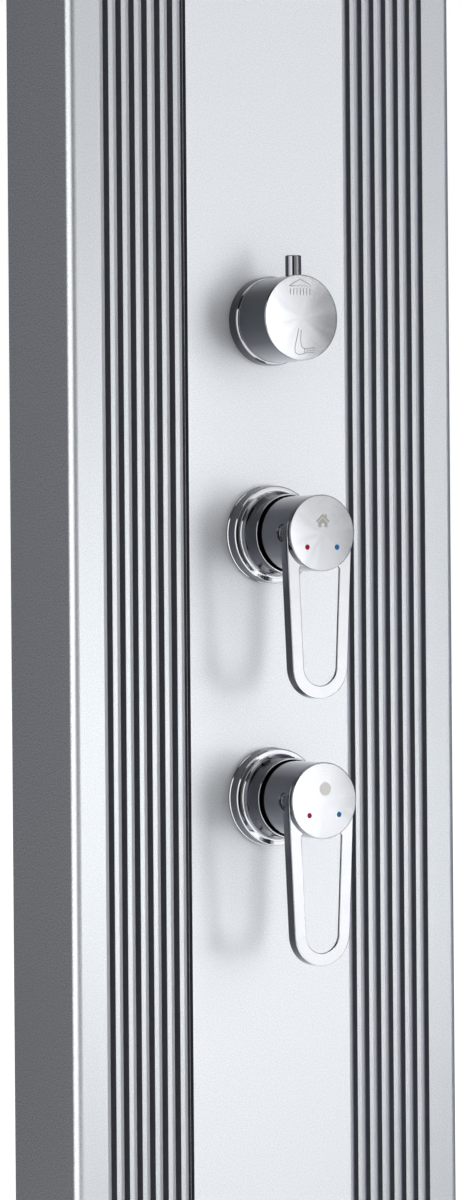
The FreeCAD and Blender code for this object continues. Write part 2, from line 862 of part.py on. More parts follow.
def cartridge(prefix, height):
    """The cartridge, its nut, the carrier that swivels in it, and the stem on its pivot pin."""
    top = S.barrel_front - S.nut_spigot
    floor = S.carrier_back - S.end_clearance
    bore = S.carrier_radius + S.running_clearance
    outline = [
        (0, -S.cartridge_back),
        (S.cartridge_radius, -S.cartridge_back),
        (S.cartridge_radius, top),
        (bore, top),
        (bore, floor),
        (0, floor),
    ]
    keep(f"{prefix}_cartridge", turned(outline, OUT, 0, front, height))
    nut = turned(
        [
            (S.neck_bore, top),
            (S.cartridge_radius, top),
            (S.cartridge_radius, S.barrel_front),
            (S.neck_radius, S.barrel_front),
            (S.neck_radius, S.neck_front),
            (S.neck_bore, S.neck_front),
        ],
        OUT, 0, front, height,
    )
    rounded(nut, S.neck_edge_radius, ring_edge(S.neck_radius, S.neck_front))
    keep(f"{prefix}_cartridge_nut", nut)
    length = S.carrier_front - S.carrier_back
    slot_side = S.stem_radius + S.slot_clearance
    barrel = rod(S.carrier_radius, length, OUT, 0, front - S.carrier_back, height)
    slot_height = S.slot_above + S.slot_below
    slot_bottom = height - S.slot_below
    slot = block(slot_side * 2, length, slot_height, -slot_side, front - S.carrier_front, slot_bottom)
    pivot = front - S.pivot_station
    pin_start = -S.pivot_length / 2
    hole = rod(S.pivot_radius, S.pivot_length, RIGHT, pin_start, pivot, height)
    keep(f"{prefix}_stem_carrier", minus(barrel, slot, hole))
    keep(f"{prefix}_pivot_pin", rod(S.pivot_radius, S.pivot_length, RIGHT, pin_start, pivot, height))
    bar = rod(S.stem_radius, S.stem_front - S.stem_back, OUT, 0, front - S.stem_back, height)
    eye_length = S.stem_radius * 2
    eye = rod(S.pivot_radius + S.running_clearance, eye_length, RIGHT, -S.stem_radius, pivot, height)
    keep(f"{prefix}_stem", minus(bar, eye))


def loop_outline(sketch):
    """The outside of the lever: the hub circle and the end circle with two tangent lines."""
    hub = S.hub_radius.value
    end = S.lever_end_radius.value
    drop = S.lever_length - S.lever_end_radius
    lean = math.asin((hub - end) / drop.value)
    normal = Vector(-math.cos(lean), -math.sin(lean), 0)
    mirrored = Vector(-normal.x, normal.y, 0)
    low = Vector(0, -drop.value, 0)
    axis = Vector(0, 0, 1)
    turn = HALF_TURN_IN_RADIANS
    top_arc = Part.ArcOfCircle(Part.Circle(Vector(), axis, hub), -lean, turn + lean)
    end_arc = Part.ArcOfCircle(Part.Circle(low, axis, end), turn + lean, 2 * turn - lean)
    sketch.addGeometry(top_arc, False)
    sketch.addGeometry(Part.LineSegment(normal * hub, low + normal * end), False)
    sketch.addGeometry(end_arc, False)
    sketch.addGeometry(Part.LineSegment(low + mirrored * end, mirrored * hub), False)
    for first, first_end, second, second_end in ((0, 2, 1, 1), (1, 2, 2, 1), (2, 2, 3, 1), (3, 2, 0, 1)):
        sketch.addConstraint(Sketcher.Constraint("Tangent", first, first_end, second, second_end))
    sketch.addConstraint(Sketcher.Constraint("Coincident", 0, 3, -1, 1))
    tie(sketch, "Radius", 0, size=S.hub_radius)
    tie(sketch, "Radius", 2, size=S.lever_end_radius)
    tie_point(sketch, 2, 3, 0, -drop)
    return sketch


def loop_corner(arm_width):
    """The upper left corner of the finger gap, where an arm meets the hub, and the lean of the arm."""
    hub = S.hub_radius.value
    inner_line = hub - arm_width.value
    drop = S.lever_length.value - S.lever_end_radius.value
    lean = math.asin((hub - S.lever_end_radius.value) / drop)
    normal = Vector(-math.cos(lean), -math.sin(lean), 0)
    along = Vector(math.sin(lean), -math.cos(lean), 0)
    return normal * inner_line + along * math.sqrt(hub ** 2 - inner_line ** 2), lean


def loop_opening(sketch, arm_width):
    """The finger gap: under the hub, inside two lines and inside the end."""
    hub = S.hub_radius.value
    inner_end = S.lever_end_radius - arm_width
    inner_line = S.hub_radius - arm_width
    drop = S.lever_length - S.lever_end_radius
    upper, lean = loop_corner(arm_width)
    normal = Vector(-math.cos(lean), -math.sin(lean), 0)
    upper_right = Vector(-upper.x, upper.y, 0)
    low = Vector(0, -drop.value, 0)
    lower = low + normal * inner_end.value
    lower_right = Vector(-lower.x, lower.y, 0)
    axis = Vector(0, 0, 1)
    turn = HALF_TURN_IN_RADIANS
    start = math.atan2(upper.y, upper.x)
    stop = math.atan2(upper_right.y, upper_right.x)
    sketch.addGeometry(Part.ArcOfCircle(Part.Circle(Vector(), axis, hub), start, stop), False)
    sketch.addGeometry(Part.LineSegment(upper, lower), False)
    end_circle = Part.Circle(low, axis, inner_end.value)
    sketch.addGeometry(Part.ArcOfCircle(end_circle, turn + lean, 2 * turn - lean), False)
    sketch.addGeometry(Part.LineSegment(lower_right, upper_right), False)
    sketch.addConstraint(Sketcher.Constraint("Coincident", 0, 1, 1, 1))
    sketch.addConstraint(Sketcher.Constraint("Tangent", 1, 2, 2, 1))
    sketch.addConstraint(Sketcher.Constraint("Tangent", 2, 2, 3, 1))
    sketch.addConstraint(Sketcher.Constraint("Coincident", 3, 2, 0, 2))
    sketch.addConstraint(Sketcher.Constraint("Coincident", 0, 3, -1, 1))
    tie(sketch, "Radius", 0, size=S.hub_radius)
    tie(sketch, "Radius", 2, size=inner_end)
    tie_point(sketch, 2, 3, 0, -drop)
    tie(sketch, "Distance", -1, 1, 1, size=inner_line)
    tie(sketch, "Distance", -1, 1, 3, size=inner_line)
    return sketch


def lever(prefix, height):
    """The lever with its hub and loop, its front cap and its grub screw."""
    body = new_body("Lever")
    padded(body, circle(new_sketch(body, "XY_Plane", S.hub_back), S.hub_radius), S.loop_front - S.hub_back)
    loop_back = S.loop_front - S.loop_depth
    padded(body, loop_outline(new_sketch(body, "XY_Plane", loop_back)), S.loop_depth)
    gap = loop_opening(new_sketch(body, "XY_Plane", S.loop_front), S.arm_width)
    pocketed(body, gap, S.loop_depth)
    hollow_back = loop_opening(new_sketch(body, "XY_Plane", loop_back), S.loop_rim)
    pocketed(body, hollow_back, S.loop_depth - S.loop_lip, forward=True)
    corner, lean = loop_corner(S.arm_width)
    rounded(body, S.loop_corner_radius, axial_edge((corner.x, corner.y), (-corner.x, corner.y)))
    hollow = circle(circle(new_sketch(body, "XY_Plane", S.hub_back), S.hub_bore), S.boss_radius)
    pocketed(body, hollow, S.hub_web - S.hub_back, forward=True)
    boss_end = circle(new_sketch(body, "XY_Plane", S.hub_back), S.boss_radius)
    pocketed(body, boss_end, S.boss_back - S.hub_back, forward=True)
    socket = circle(new_sketch(body, "XY_Plane", S.boss_back), S.stem_radius + S.seat_clearance)
    pocketed(body, socket, S.stem_front + S.end_clearance - S.boss_back, forward=True)
    grub_hole = circle(new_sketch(body, "YZ_Plane"), S.grub_radius + S.thread_clearance, 0, S.grub_station)
    pocketed(body, grub_hole, S.hub_radius * 2)
    recess_floor = S.hub_radius - S.grub_recess_depth
    recess = circle(new_sketch(body, "YZ_Plane", -recess_floor), S.grub_recess_radius, 0, S.grub_station)
    pocketed(body, recess, S.hub_radius)
    rounded(body, S.loop_edge_radius, level_edge(S.loop_front))
    keep(f"{prefix}_lever", place(body, OUT, 0, front, height))
    cap_front = S.loop_front + S.lever_cap_thickness
    outline = [(0, S.loop_front), (S.hub_radius, S.loop_front), (S.hub_radius, cap_front), (0, cap_front)]
    cap = turned(outline, OUT, 0, front, height)
    rounded(cap, S.lever_cap_edge_radius, ring_edge(S.hub_radius, cap_front))
    keep(f"{prefix}_lever_cap", cap)
    tip = S.stem_radius + S.seat_clearance
    y = front - S.grub_station
    grub = rod(S.grub_radius, S.grub_end - tip, LEFT, -tip, y, height)
    socket = rod(S.grub_socket_radius, S.grub_socket_depth, RIGHT, -S.grub_end, y, height)
    keep(f"{prefix}_grub_screw", minus(grub, socket))


def mixer(prefix, height):
    escutcheon(f"{prefix}_escutcheon", height)
    mixer_body(f"{prefix}_mixer_body", height)
    cartridge(prefix, height)
    lever(prefix, height)


# The diverter


def diverter():
    height = diverter_height
    lid = S.ring_depth - S.ring_lid
    cavity = S.ring_radius - S.ring_wall
    cover = turned(
        [
            (cavity, 0),
            (S.ring_radius, 0),
            (S.ring_radius, S.ring_depth),
            (S.ring_opening, S.ring_depth),
            (S.ring_opening, lid),
            (cavity, lid),
        ],
        OUT, 0, front, height,
    )
    rounded(cover, S.ring_edge_radius, ring_edge(S.ring_radius, S.ring_depth))
    keep("diverter_ring", cover)
    bore = S.spindle_radius + S.running_clearance
    plug_bore = S.plug_radius + S.running_clearance
    plug_roof = S.plug_front - S.end_clearance
    plug_floor = S.plug_back + S.end_clearance
    shell = turned(
        [
            (0, -S.diverter_depth),
            (S.diverter_chamber_radius, -S.diverter_depth),
            (S.diverter_chamber_radius, -shoulder_back),
            (S.diverter_shoulder_radius, -shoulder_back),
            (S.diverter_shoulder_radius, -shoulder_front),
            (S.diverter_barrel_radius, -shoulder_front),
            (S.diverter_barrel_radius, S.diverter_barrel_front),
            (bore, S.diverter_barrel_front),
            (bore, -plug_roof),
            (plug_bore, -plug_roof),
            (plug_bore, -plug_floor),
            (0, -plug_floor),
        ],
        OUT, 0, front, height,
    )
    reach = S.diverter_port_reach
    start = S.plug_radius + S.seat_clearance * 2
    length = reach - start
    stubs = [rod(S.port_radius, length, RIGHT, start, port_lane, height)]
    stubs.append(rod(S.port_radius, length, LEFT, -start, port_lane, height))
    stubs.append(rod(S.port_radius, length, UP, 0, port_lane, height + start))
    stubs.append(rod(S.port_radius, length, DOWN, 0, port_lane, height - start))
    bore = S.pipe_bore_radius
    holes = [
        rod(bore, reach * 2, RIGHT, -reach, port_lane, height),
        rod(bore, reach * 2, UP, 0, port_lane, height - reach),
        turned([(0, -plug_floor), (plug_bore, -plug_floor), (plug_bore, -plug_roof), (0, -plug_roof)],
               OUT, 0, front, height),
    ]
    keep("diverter_body", minus(joined(shell, *stubs), *holes))
    spindle = turned(
        [
            (0, -S.plug_back),
            (S.plug_radius, -S.plug_back),
            (S.plug_radius, -S.plug_front),
            (S.spindle_radius, -S.plug_front),
            (S.spindle_radius, S.spindle_front),
            (0, S.spindle_front),
        ],
        OUT, 0, front, height,
    )
    keep("diverter_spindle", spindle)
    diverter_knob(height)


def diverter_knob(height):
    """The knob, its pin handle and its grub screw."""
    bore = S.spindle_radius + S.seat_clearance
    bore_end = S.spindle_front + S.end_clearance
    shell = turned(
        [
            (0, bore_end),
            (bore, bore_end),
            (bore, S.knob_web),
            (S.knob_bore, S.knob_web),
            (S.knob_bore, S.knob_back),
            (S.knob_radius, S.knob_back),
            (S.knob_radius, S.knob_front),
            (0, S.knob_front),
        ],
        OUT, 0, front, height,
    )
    rounded(shell, S.knob_edge_radius, ring_edge(S.knob_radius, S.knob_front))
    y = front - S.pin_station
    seat = height + S.pin_seat
    tail_end = seat - S.pin_tail_length
    pin_fit = S.pin_radius + S.thread_clearance
    tail_fit = S.pin_tail_radius + S.thread_clearance
    holes = [
        rod(pin_fit, S.knob_radius, UP, 0, y, seat),
        rod(tail_fit, S.pin_tail_length, UP, 0, y, tail_end),
        rod(S.knob_grub_radius + S.thread_clearance, S.knob_radius, DOWN, 0, y, height - S.spindle_radius),
    ]
    keep("diverter_knob", minus(shell, *holes))
    pin = turned(
        [
            (0, S.pin_seat - S.pin_tail_length),
            (S.pin_tail_radius, S.pin_seat - S.pin_tail_length),
            (S.pin_tail_radius, S.pin_seat),
            (S.pin_radius, S.pin_seat),
            (S.pin_radius, S.pin_top),
            (0, S.pin_top),
        ],
        UP, 0, y, height,
    )
    rounded(pin, S.pin_edge_radius, ring_edge(S.pin_radius, S.pin_top))
    keep("diverter_pin", pin)
    tip = height - S.spindle_radius - S.seat_clearance
    keep("diverter_grub_screw", rod(S.knob_grub_radius, S.knob_grub_length, DOWN, 0, y, tip))


# The shower arm and head

head_axis = front - S.arm_reach
arm_end = arm_height - S.arm_turn_down
ball_height = arm_end - S.end_clearance - S.sleeve_floor - S.ball_neck_length


def shower_arm():
    tail = front + S.arm_tail
    points = [(0, tail, arm_height), (0, head_axis, arm_height), (0, head_axis, arm_end)]
    keep("shower_arm", pipe([points], S.arm_bend_radius, S.arm_radius, S.arm_bore_radius))
    bore = S.arm_radius + S.seat_clearance
    flange = ring(S.arm_flange_radius, bore, 0, S.arm_flange_depth, OUT, 0, front, arm_height)
    rounded(flange, S.arm_flange_edge_radius, ring_edge(S.arm_flange_radius, S.arm_flange_depth))
    keep("arm_flange", flange)
    floor = S.ball_neck_length + S.sleeve_floor
    sleeve_bore = S.arm_radius + S.running_clearance
    sleeve_radius = S.arm_radius + S.sleeve_wall
    sleeve = turned(
        [
            (0, S.ball_neck_length),
            (sleeve_radius, S.ball_neck_length),
            (sleeve_radius, floor + S.sleeve_grip),
            (sleeve_bore, floor + S.sleeve_grip),
            (sleeve_bore, floor),
            (0, floor),
        ],
        UP, 0, head_axis, ball_height,
    )
    ball = doc.addObject("Part::Sphere", "Ball")
    bind(ball, "Radius", S.ball_radius)
    place(ball, UP, 0, head_axis, ball_height)
    neck = rod(S.ball_neck_radius, S.ball_neck_length, UP, 0, head_axis, ball_height)
    passage_length = S.ball_radius + floor
    passage = rod(S.ball_passage_radius, passage_length, UP, 0, head_axis, ball_height - S.ball_radius)
    keep("ball_stud", minus(joined(ball, neck, sleeve), passage))


def shower_head():
    bore = S.ball_radius + S.running_clearance
    outline = [
        (S.head_nut_opening, S.head_nut_top),
        (S.head_nut_radius, S.head_nut_top),
        (S.head_nut_radius, -S.head_cup_top),
        (bore, -S.head_cup_top),
        (bore, S.head_nut_lip),
    ]
    keep("head_nut", turned(outline, UP, 0, head_axis, ball_height))
    seat = S.head_bottom - S.face_thickness
    plenum_top = S.head_boss_bottom + S.head_wall
    shell = turned(
        [
            (0, -S.head_cup_floor),
            (bore, -S.head_cup_floor),
            (bore, -S.head_cup_top),
            (S.head_nut_radius, -S.head_cup_top),
            (S.head_nut_radius, -S.head_boss_bottom),
            (S.head_radius, -S.head_edge_top),
            (S.head_radius, -S.head_bottom),
            (S.face_radius, -S.head_bottom),
            (S.face_radius, -seat),
            (S.head_plenum_radius, -seat),
            (S.head_plenum_radius, -S.head_plenum_edge),
            (S.head_nut_radius, -plenum_top),
            (0, -plenum_top),
        ],
        UP, 0, head_axis, ball_height,
    )
    rounded(shell, S.head_edge_radius, ring_edge(S.head_radius, -S.head_bottom))
    drop = plenum_top - S.head_cup_floor
    passage = rod(S.head_passage_radius, drop, DOWN, 0, head_axis, ball_height - S.head_cup_floor)
    keep("shower_head", minus(shell, passage))
    disc_radius = S.face_radius - S.seat_clearance
    disc = rod(disc_radius, S.face_thickness, DOWN, 0, head_axis, ball_height - seat)
    holes = []
    nozzles = []
    for number in range(1, NOZZLE_RING_COUNT + 1):
        count = NOZZLE_COUNT_STEP * number
        for step in range(count):
            angle = 2 * HALF_TURN_IN_RADIANS * step / count
            x = S.nozzle_ring_gap * (number * math.cos(angle))
            y = head_axis + S.nozzle_ring_gap * (number * math.sin(angle))
            top = ball_height - seat
            hole_radius = S.nozzle_radius + S.thread_clearance
            holes.append(rod(hole_radius, S.face_thickness, DOWN, x, y, top))
            nozzle = doc.addObject("Part::Cone", "Nozzle")
            bind(nozzle, "Radius1", S.nozzle_radius)
            bind(nozzle, "Radius2", S.nozzle_tip_radius)
            bind(nozzle, "Height", S.face_thickness + S.nozzle_drop)
            nozzles.append(place(nozzle, DOWN, x, y, top))
    keep("spray_face", minus(disc, *holes))
    group("spray_nozzles", nozzles)


# The foot spout and the inlets


def foot_spout():
    height = S.spout_height
    tip = front - S.spout_reach
    end = height - S.spout_turn_down
    points = [(0, front + S.arm_tail, height), (0, tip, height), (0, tip, end)]
    keep("foot_spout", pipe([points], S.spout_bend_radius, S.spout_radius, S.spout_bore_radius))
    bore = S.spout_radius + S.seat_clearance
    flange = ring(S.spout_flange_radius, bore, 0, S.spout_flange_depth, OUT, 0, front, height)
    rounded(flange, S.arm_flange_edge_radius, ring_edge(S.spout_flange_radius, S.spout_flange_depth))
    keep("foot_spout_flange", flange)
    low = S.outlet_overlap - S.outlet_length
    outlet = turned(
        [
            (S.spout_bore_radius, low),
            (S.spout_radius + S.outlet_wall, low),
            (S.spout_radius + S.outlet_wall, S.outlet_overlap),
            (bore, S.outlet_overlap),
            (bore, 0),
            (S.spout_bore_radius, 0),
        ],
        UP, 0, tip, end,
    )
    keep("foot_spout_outlet", outlet)


def inlet(label, x):
    """A threaded inlet through the rear panel."""
    flange = S.inlet_flange_depth
    body = turned(
        [
            (S.inlet_bore_radius, -S.inlet_tail),
            (S.inlet_radius, -S.inlet_tail),
            (S.inlet_radius, 0),
            (S.inlet_flange_radius, 0),
            (S.inlet_flange_radius, flange),
            (S.inlet_radius, flange),
            (S.inlet_radius, flange + S.inlet_reach),
            (S.inlet_bore_radius, flange + S.inlet_reach),
        ],
        BACK, x, rear, S.inlet_height,
    )
    keep(label, body)


# Gaskets and nuts behind the fittings


def fixings():
    barrels = [
        (S.barrel_radius, S.mixer_shoulder_radius, S.mixer_nut_radius, S.solar_mixer_height),
        (S.barrel_radius, S.mixer_shoulder_radius, S.mixer_nut_radius, house_mixer_height),
        (S.diverter_barrel_radius, S.diverter_shoulder_radius, S.diverter_nut_radius, diverter_height),
    ]
    tails = [
        (S.arm_radius, S.arm_nut_radius, S.arm_nut_radius, arm_height),
        (S.spout_radius, S.spout_nut_radius, S.spout_nut_radius, S.spout_height),
    ]
    gaskets = []
    nuts = []
    fit = S.thread_clearance
    for radius, outer, nut, height in barrels + tails:
        bore = radius + S.hole_clearance
        gaskets.append(ring(outer, bore, -shoulder_front, -S.panel_thickness, OUT, 0, front, height))
    for radius, outer, nut, height in barrels:
        nuts.append(hex_nut(nut, radius + fit, OUT, 0, front, height))
    for radius, outer, nut, height in tails:
        nuts.append(hex_nut(nut, radius + fit, BACK, 0, front + shoulder_front, height))
    group("panel_gaskets", gaskets)
    for x in (-S.inlet_spacing / 2, S.inlet_spacing / 2):
        nuts.append(hex_nut(S.inlet_nut_radius, S.inlet_radius + fit, OUT, x, flange_rear, S.inlet_height))
    group("fixing_nuts", nuts)


# The solar tank and the pipes

tank_port_height = S.tank_bottom_height + S.tank_port_above


def tank():
    wall = S.tank_wall
    side = S.tank_width / 2
    height = tank_top - S.tank_bottom_height
    shell = block(S.tank_width, S.tank_depth, height, -side, tank_front, S.tank_bottom_height)
    hollow = block(
        S.tank_width - wall * 2, S.tank_depth - wall * 2, height - wall * 2,
        -side + wall, tank_front + wall, S.tank_bottom_height + wall,
    )
    ports = [
        rod(S.pipe_bore_radius, wall, BACK, S.outer_lane, tank_front, tank_port_height),
        rod(S.pipe_bore_radius, wall, BACK, -S.inner_lane, tank_front, tank_port_height),
    ]
    keep("solar_tank", minus(shell, hollow, *ports))
    thick = S.tank_bracket_thickness
    width = inner_side * 2 - S.rear_panel_gap * 2
    brackets = []
    screws = []
    hole = S.screw_radius + S.hole_clearance
    for shelf, plate_bottom, row in (
        (S.tank_bottom_height - thick, S.tank_bottom_height - S.tank_bracket_height, tank_screw_rows[0]),
        (tank_top, tank_top, tank_screw_rows[1]),
    ):
        ledge = block(S.tank_width, S.tank_depth, thick, -side, tank_front, shelf)
        plate_y = flange_front - thick
        plate = block(width, thick, S.tank_bracket_height, -width / 2, plate_y, plate_bottom)
        sides = (-rear_screw_side, rear_screw_side)
        holes = [rod(hole, thick, BACK, x, plate_y, row) for x in sides]
        brackets.append(minus(joined(ledge, plate), *holes))
        screws += [screw(thick + S.rear_flange_thickness, OUT, x, plate_y, row) for x in sides]
    group("tank_brackets", brackets)
    group("tank_bracket_screws", screws)


def pipes():
    bend = S.pipe_bend_radius
    radius = S.pipe_radius
    bore = S.pipe_bore_radius
    low = S.solar_mixer_height
    high = house_mixer_height
    reach = S.mixer_port_reach
    inlet_x = S.inlet_spacing / 2
    inlet_y = rear - S.inlet_tail
    inner = S.inner_lane
    outer = S.outer_lane
    cold_runs = [
        [
            (inlet_x, inlet_y, S.inlet_height),
            (inlet_x, port_lane, S.inlet_height),
            (outer, port_lane, S.inlet_height),
            (outer, port_lane, high),
            (reach, port_lane, high),
        ],
        [(outer, port_lane, low), (reach, port_lane, low)],
        [(outer, port_lane, tank_port_height), (outer, tank_front, tank_port_height)],
    ]
    keep("cold_pipe", pipe(cold_runs, bend, radius, bore))
    hot_run = [
        (-inlet_x, inlet_y, S.inlet_height),
        (-inlet_x, port_lane, S.inlet_height),
        (-outer, port_lane, S.inlet_height),
        (-outer, port_lane, high),
        (-reach, port_lane, high),
    ]
    keep("hot_pipe", pipe([hot_run], bend, radius, bore))
    solar_run = [
        (-inner, tank_front, tank_port_height),
        (-inner, port_lane, tank_port_height),
        (-inner, port_lane, low),
        (-reach, port_lane, low),
    ]
    keep("solar_pipe", pipe([solar_run], bend, radius, bore))
    diverter_reach = S.diverter_port_reach
    middle = diverter_height
    straight = [(0, port_lane, high + reach), (0, port_lane, middle - diverter_reach)]
    start = low + reach
    round_about = [
        (0, port_lane, start),
        (0, port_lane, start + S.lane_start),
        (-inner, port_lane, start + S.lane_start),
        (-inner, rear_lane, start + S.lane_start + S.lane_change),
        (-inner, rear_lane, middle - S.lane_change),
        (-inner, port_lane, middle),
        (-diverter_reach, port_lane, middle),
    ]
    mixed = [pipe([run], bend, radius, bore) for run in (straight, round_about)]
    group("mixed_water_pipes", mixed)
    top = middle + diverter_reach
    tail = front + S.arm_tail
    rising = [
        (0, port_lane, top),
        (0, port_lane, top + S.lane_start),
        (0, rear_lane, top + S.lane_start + S.lane_change),
        (0, rear_lane, arm_height),
        (0, tail, arm_height),
    ]
    keep("riser_pipe", pipe([rising], bend, radius, bore))
    dropping = [
        (diverter_reach, port_lane, middle),
        (inner, port_lane, middle),
        (inner, rear_lane, middle - S.lane_change),
        (inner, rear_lane, S.spout_height),
        (0, rear_lane, S.spout_height),
        (0, tail, S.spout_height),
    ]
    keep("drop_pipe", pipe([dropping], bend, radius, bore))


profiles()
centre_panel()
rear_panel()
top_cap()
base()
mixer("house", house_mixer_height)
mixer("solar", S.solar_mixer_height)
diverter()
shower_arm()
shower_head()
foot_spout()
inlet("cold_inlet", S.inlet_spacing / 2)
inlet("hot_inlet", -S.inlet_spacing / 2)
fixings()
tank()
pipes()
doc.recompute()

for item in doc.Objects:
    if "Invalid" in item.State or "Error" in item.State:
        raise RuntimeError(f"{item.Name} did not build")

os.makedirs("parts", exist_ok=True)
for label, item in parts.items():
    shape = item.Shape
    if shape.isNull() or not shape.isValid() or not shape.Solids:
        raise RuntimeError(f"{label} has no valid solid")
    shape.exportStep(f"parts/{label}.step")
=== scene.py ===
import math

import bmesh
import bpy
from mathutils import Matrix, Vector


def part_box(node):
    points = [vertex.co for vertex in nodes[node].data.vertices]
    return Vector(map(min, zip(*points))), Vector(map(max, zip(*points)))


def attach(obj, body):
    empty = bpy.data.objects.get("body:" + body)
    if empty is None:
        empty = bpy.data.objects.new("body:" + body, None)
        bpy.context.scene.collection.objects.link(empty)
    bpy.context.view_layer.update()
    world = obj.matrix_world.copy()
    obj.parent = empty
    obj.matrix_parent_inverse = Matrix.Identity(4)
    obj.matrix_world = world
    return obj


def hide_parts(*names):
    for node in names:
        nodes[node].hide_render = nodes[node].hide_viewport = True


# An outdoor shower column, dressed for its picture.
# Metres, in the frame of the solids: the front faces -Y, Z is up and the origin is on the floor.
# Sizes of pieces are written in millimetres and scaled here.

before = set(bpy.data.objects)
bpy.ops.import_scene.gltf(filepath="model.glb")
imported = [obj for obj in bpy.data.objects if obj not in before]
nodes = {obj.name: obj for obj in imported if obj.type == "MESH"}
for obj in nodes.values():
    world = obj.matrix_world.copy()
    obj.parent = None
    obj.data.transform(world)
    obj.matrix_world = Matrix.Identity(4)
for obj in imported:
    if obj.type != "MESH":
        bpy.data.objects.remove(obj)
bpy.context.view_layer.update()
MM = 0.001


# Shader nodes

# the sockets of a Mix node that blends two colours
SHARE, FIRST, SECOND, BLEND = 0, 6, 7, 2
# a noise lies mostly between these, and is spread from 0 to 1
NOISE_RANGE = {"From Min": 0.3, "From Max": 0.7}


def linear(colour):
    """An sRGB hex colour as linear red, green and blue, with alpha."""
    channels = [int(colour[i:i + 2], 16) / 255 for i in (1, 3, 5)]
    return [c / 12.92 if c <= 0.04045 else ((c + 0.055) / 1.055) ** 2.4 for c in channels] + [1.0]


def feed(tree, node, inputs):
    """Fills a node's inputs. Each takes a value, or another node's socket to link from."""
    for name, value in inputs.items():
        if isinstance(value, bpy.types.NodeSocket):
            tree.links.new(value, node.inputs[name])
        else:
            node.inputs[name].default_value = value


def add(tree, kind, inputs=None, **settings):
    """Adds a node with its settings and its inputs."""
    node = tree.nodes.new(kind)
    for name, value in settings.items():
        setattr(node, name, value)
    feed(tree, node, inputs or {})
    return node


def surface(name, metallic=0.0, roughness=0.5):
    """A new material. Gives it with its node tree, its shader and the place on the object."""
    material = bpy.data.materials.new(name)
    material.use_nodes = True
    tree = material.node_tree
    shader = tree.nodes["Principled BSDF"]
    feed(tree, shader, {"Metallic": metallic, "Roughness": roughness})
    return material, tree, shader, add(tree, "ShaderNodeTexCoord").outputs["Object"]


def facing(tree, least, most, axis="Y"):
    """How far a surface lies square to an axis, from 0 on its sides to 1 on its faces."""
    normal = add(tree, "ShaderNodeTexCoord").outputs["Normal"]
    along = add(tree, "ShaderNodeSeparateXYZ", {"Vector": normal}).outputs[axis]
    square = add(tree, "ShaderNodeMath", {0: along}, operation="ABSOLUTE").outputs["Value"]
    return add(tree, "ShaderNodeMapRange", {
        "Value": square, "From Min": least, "From Max": most}).outputs["Result"]


# Materials of the column

# just inside the two edges of the front sheet, in millimetres from the middle of the column
SHEET_EDGE = 57.45
# just above the floors of the grooves, and how far up the walls the painted light reaches
GROOVE_FLOOR, LEFT_PAINTED_LIGHT, RIGHT_PAINTED_LIGHT = -32.82, -33.1, -35.2


def flakes_on(tree, shader, place, dark, light):
    """The sparkle of a silver lacquer. Gives its colour.

    On the sides its colour spreads wider, from grey to white, as a painted glint of the flakes seen edge-on.
    """
    # the flakes are about 0.1 mm across, and are drawn 0.8 mm wide so that they show
    grain = add(tree, "ShaderNodeTexNoise", {
        "Vector": place, "Scale": 1 / (0.8 * MM), "Detail": 1.0}).outputs["Fac"]
    spread = add(tree, "ShaderNodeMapRange", {"Value": grain, **NOISE_RANGE}).outputs["Result"]
    face = add(tree, "ShaderNodeMix", {
        SHARE: spread, FIRST: linear(dark), SECOND: linear(light)}, data_type="RGBA")
    # painted glint: on the sides the flakes are painted from grey to white
    painted_glint = add(tree, "ShaderNodeMix", {
        SHARE: spread, FIRST: linear("#B0B4B8"), SECOND: linear("#FFFFFF")}, data_type="RGBA")
    lacquer = add(tree, "ShaderNodeMix", {
        SHARE: facing(tree, 0.1, 0.6), FIRST: painted_glint.outputs[BLEND], SECOND: face.outputs[BLEND]},
        data_type="RGBA")
    bump = add(tree, "ShaderNodeBump", {"Strength": 0.5, "Distance": 0.03 * MM, "Height": grain})
    feed(tree, shader, {"Normal": bump.outputs["Normal"]})
    return lacquer.outputs[BLEND]


def silver_lacquer():
    """Extruded aluminium, blasted and silver lacquered: an even cool pale grey with fine metal flakes."""
    material, tree, shader, place = surface("silver_lacquer", metallic=0.93, roughness=0.38)
    feed(tree, shader, {"Base Color": flakes_on(tree, shader, place, "#D2D6DA", "#E7EBEF")})
    return material


def silver_panel():
    """The same lacquer on the front sheet, whose two cut edges, inside the grooves, are painted dark as
    painted shade.
    """
    material, tree, shader, place = surface("silver_panel", metallic=0.78, roughness=0.44)
    lacquer = flakes_on(tree, shader, place, "#E2E6EA", "#F7FAFE")
    across = add(tree, "ShaderNodeSeparateXYZ", {"Vector": place}).outputs["X"]
    side = add(tree, "ShaderNodeMath", {0: across}, operation="ABSOLUTE").outputs["Value"]
    # painted shade: beyond these edges, inside the grooves, the sheet is near black
    edge = add(tree, "ShaderNodeMath", {
        0: side, 1: SHEET_EDGE * MM}, operation="GREATER_THAN").outputs["Value"]
    tone = add(tree, "ShaderNodeMix", {
        SHARE: edge, FIRST: lacquer, SECOND: linear("#1F2129")}, data_type="RGBA")
    feed(tree, shader, {"Base Color": tone.outputs[BLEND]})
    return material


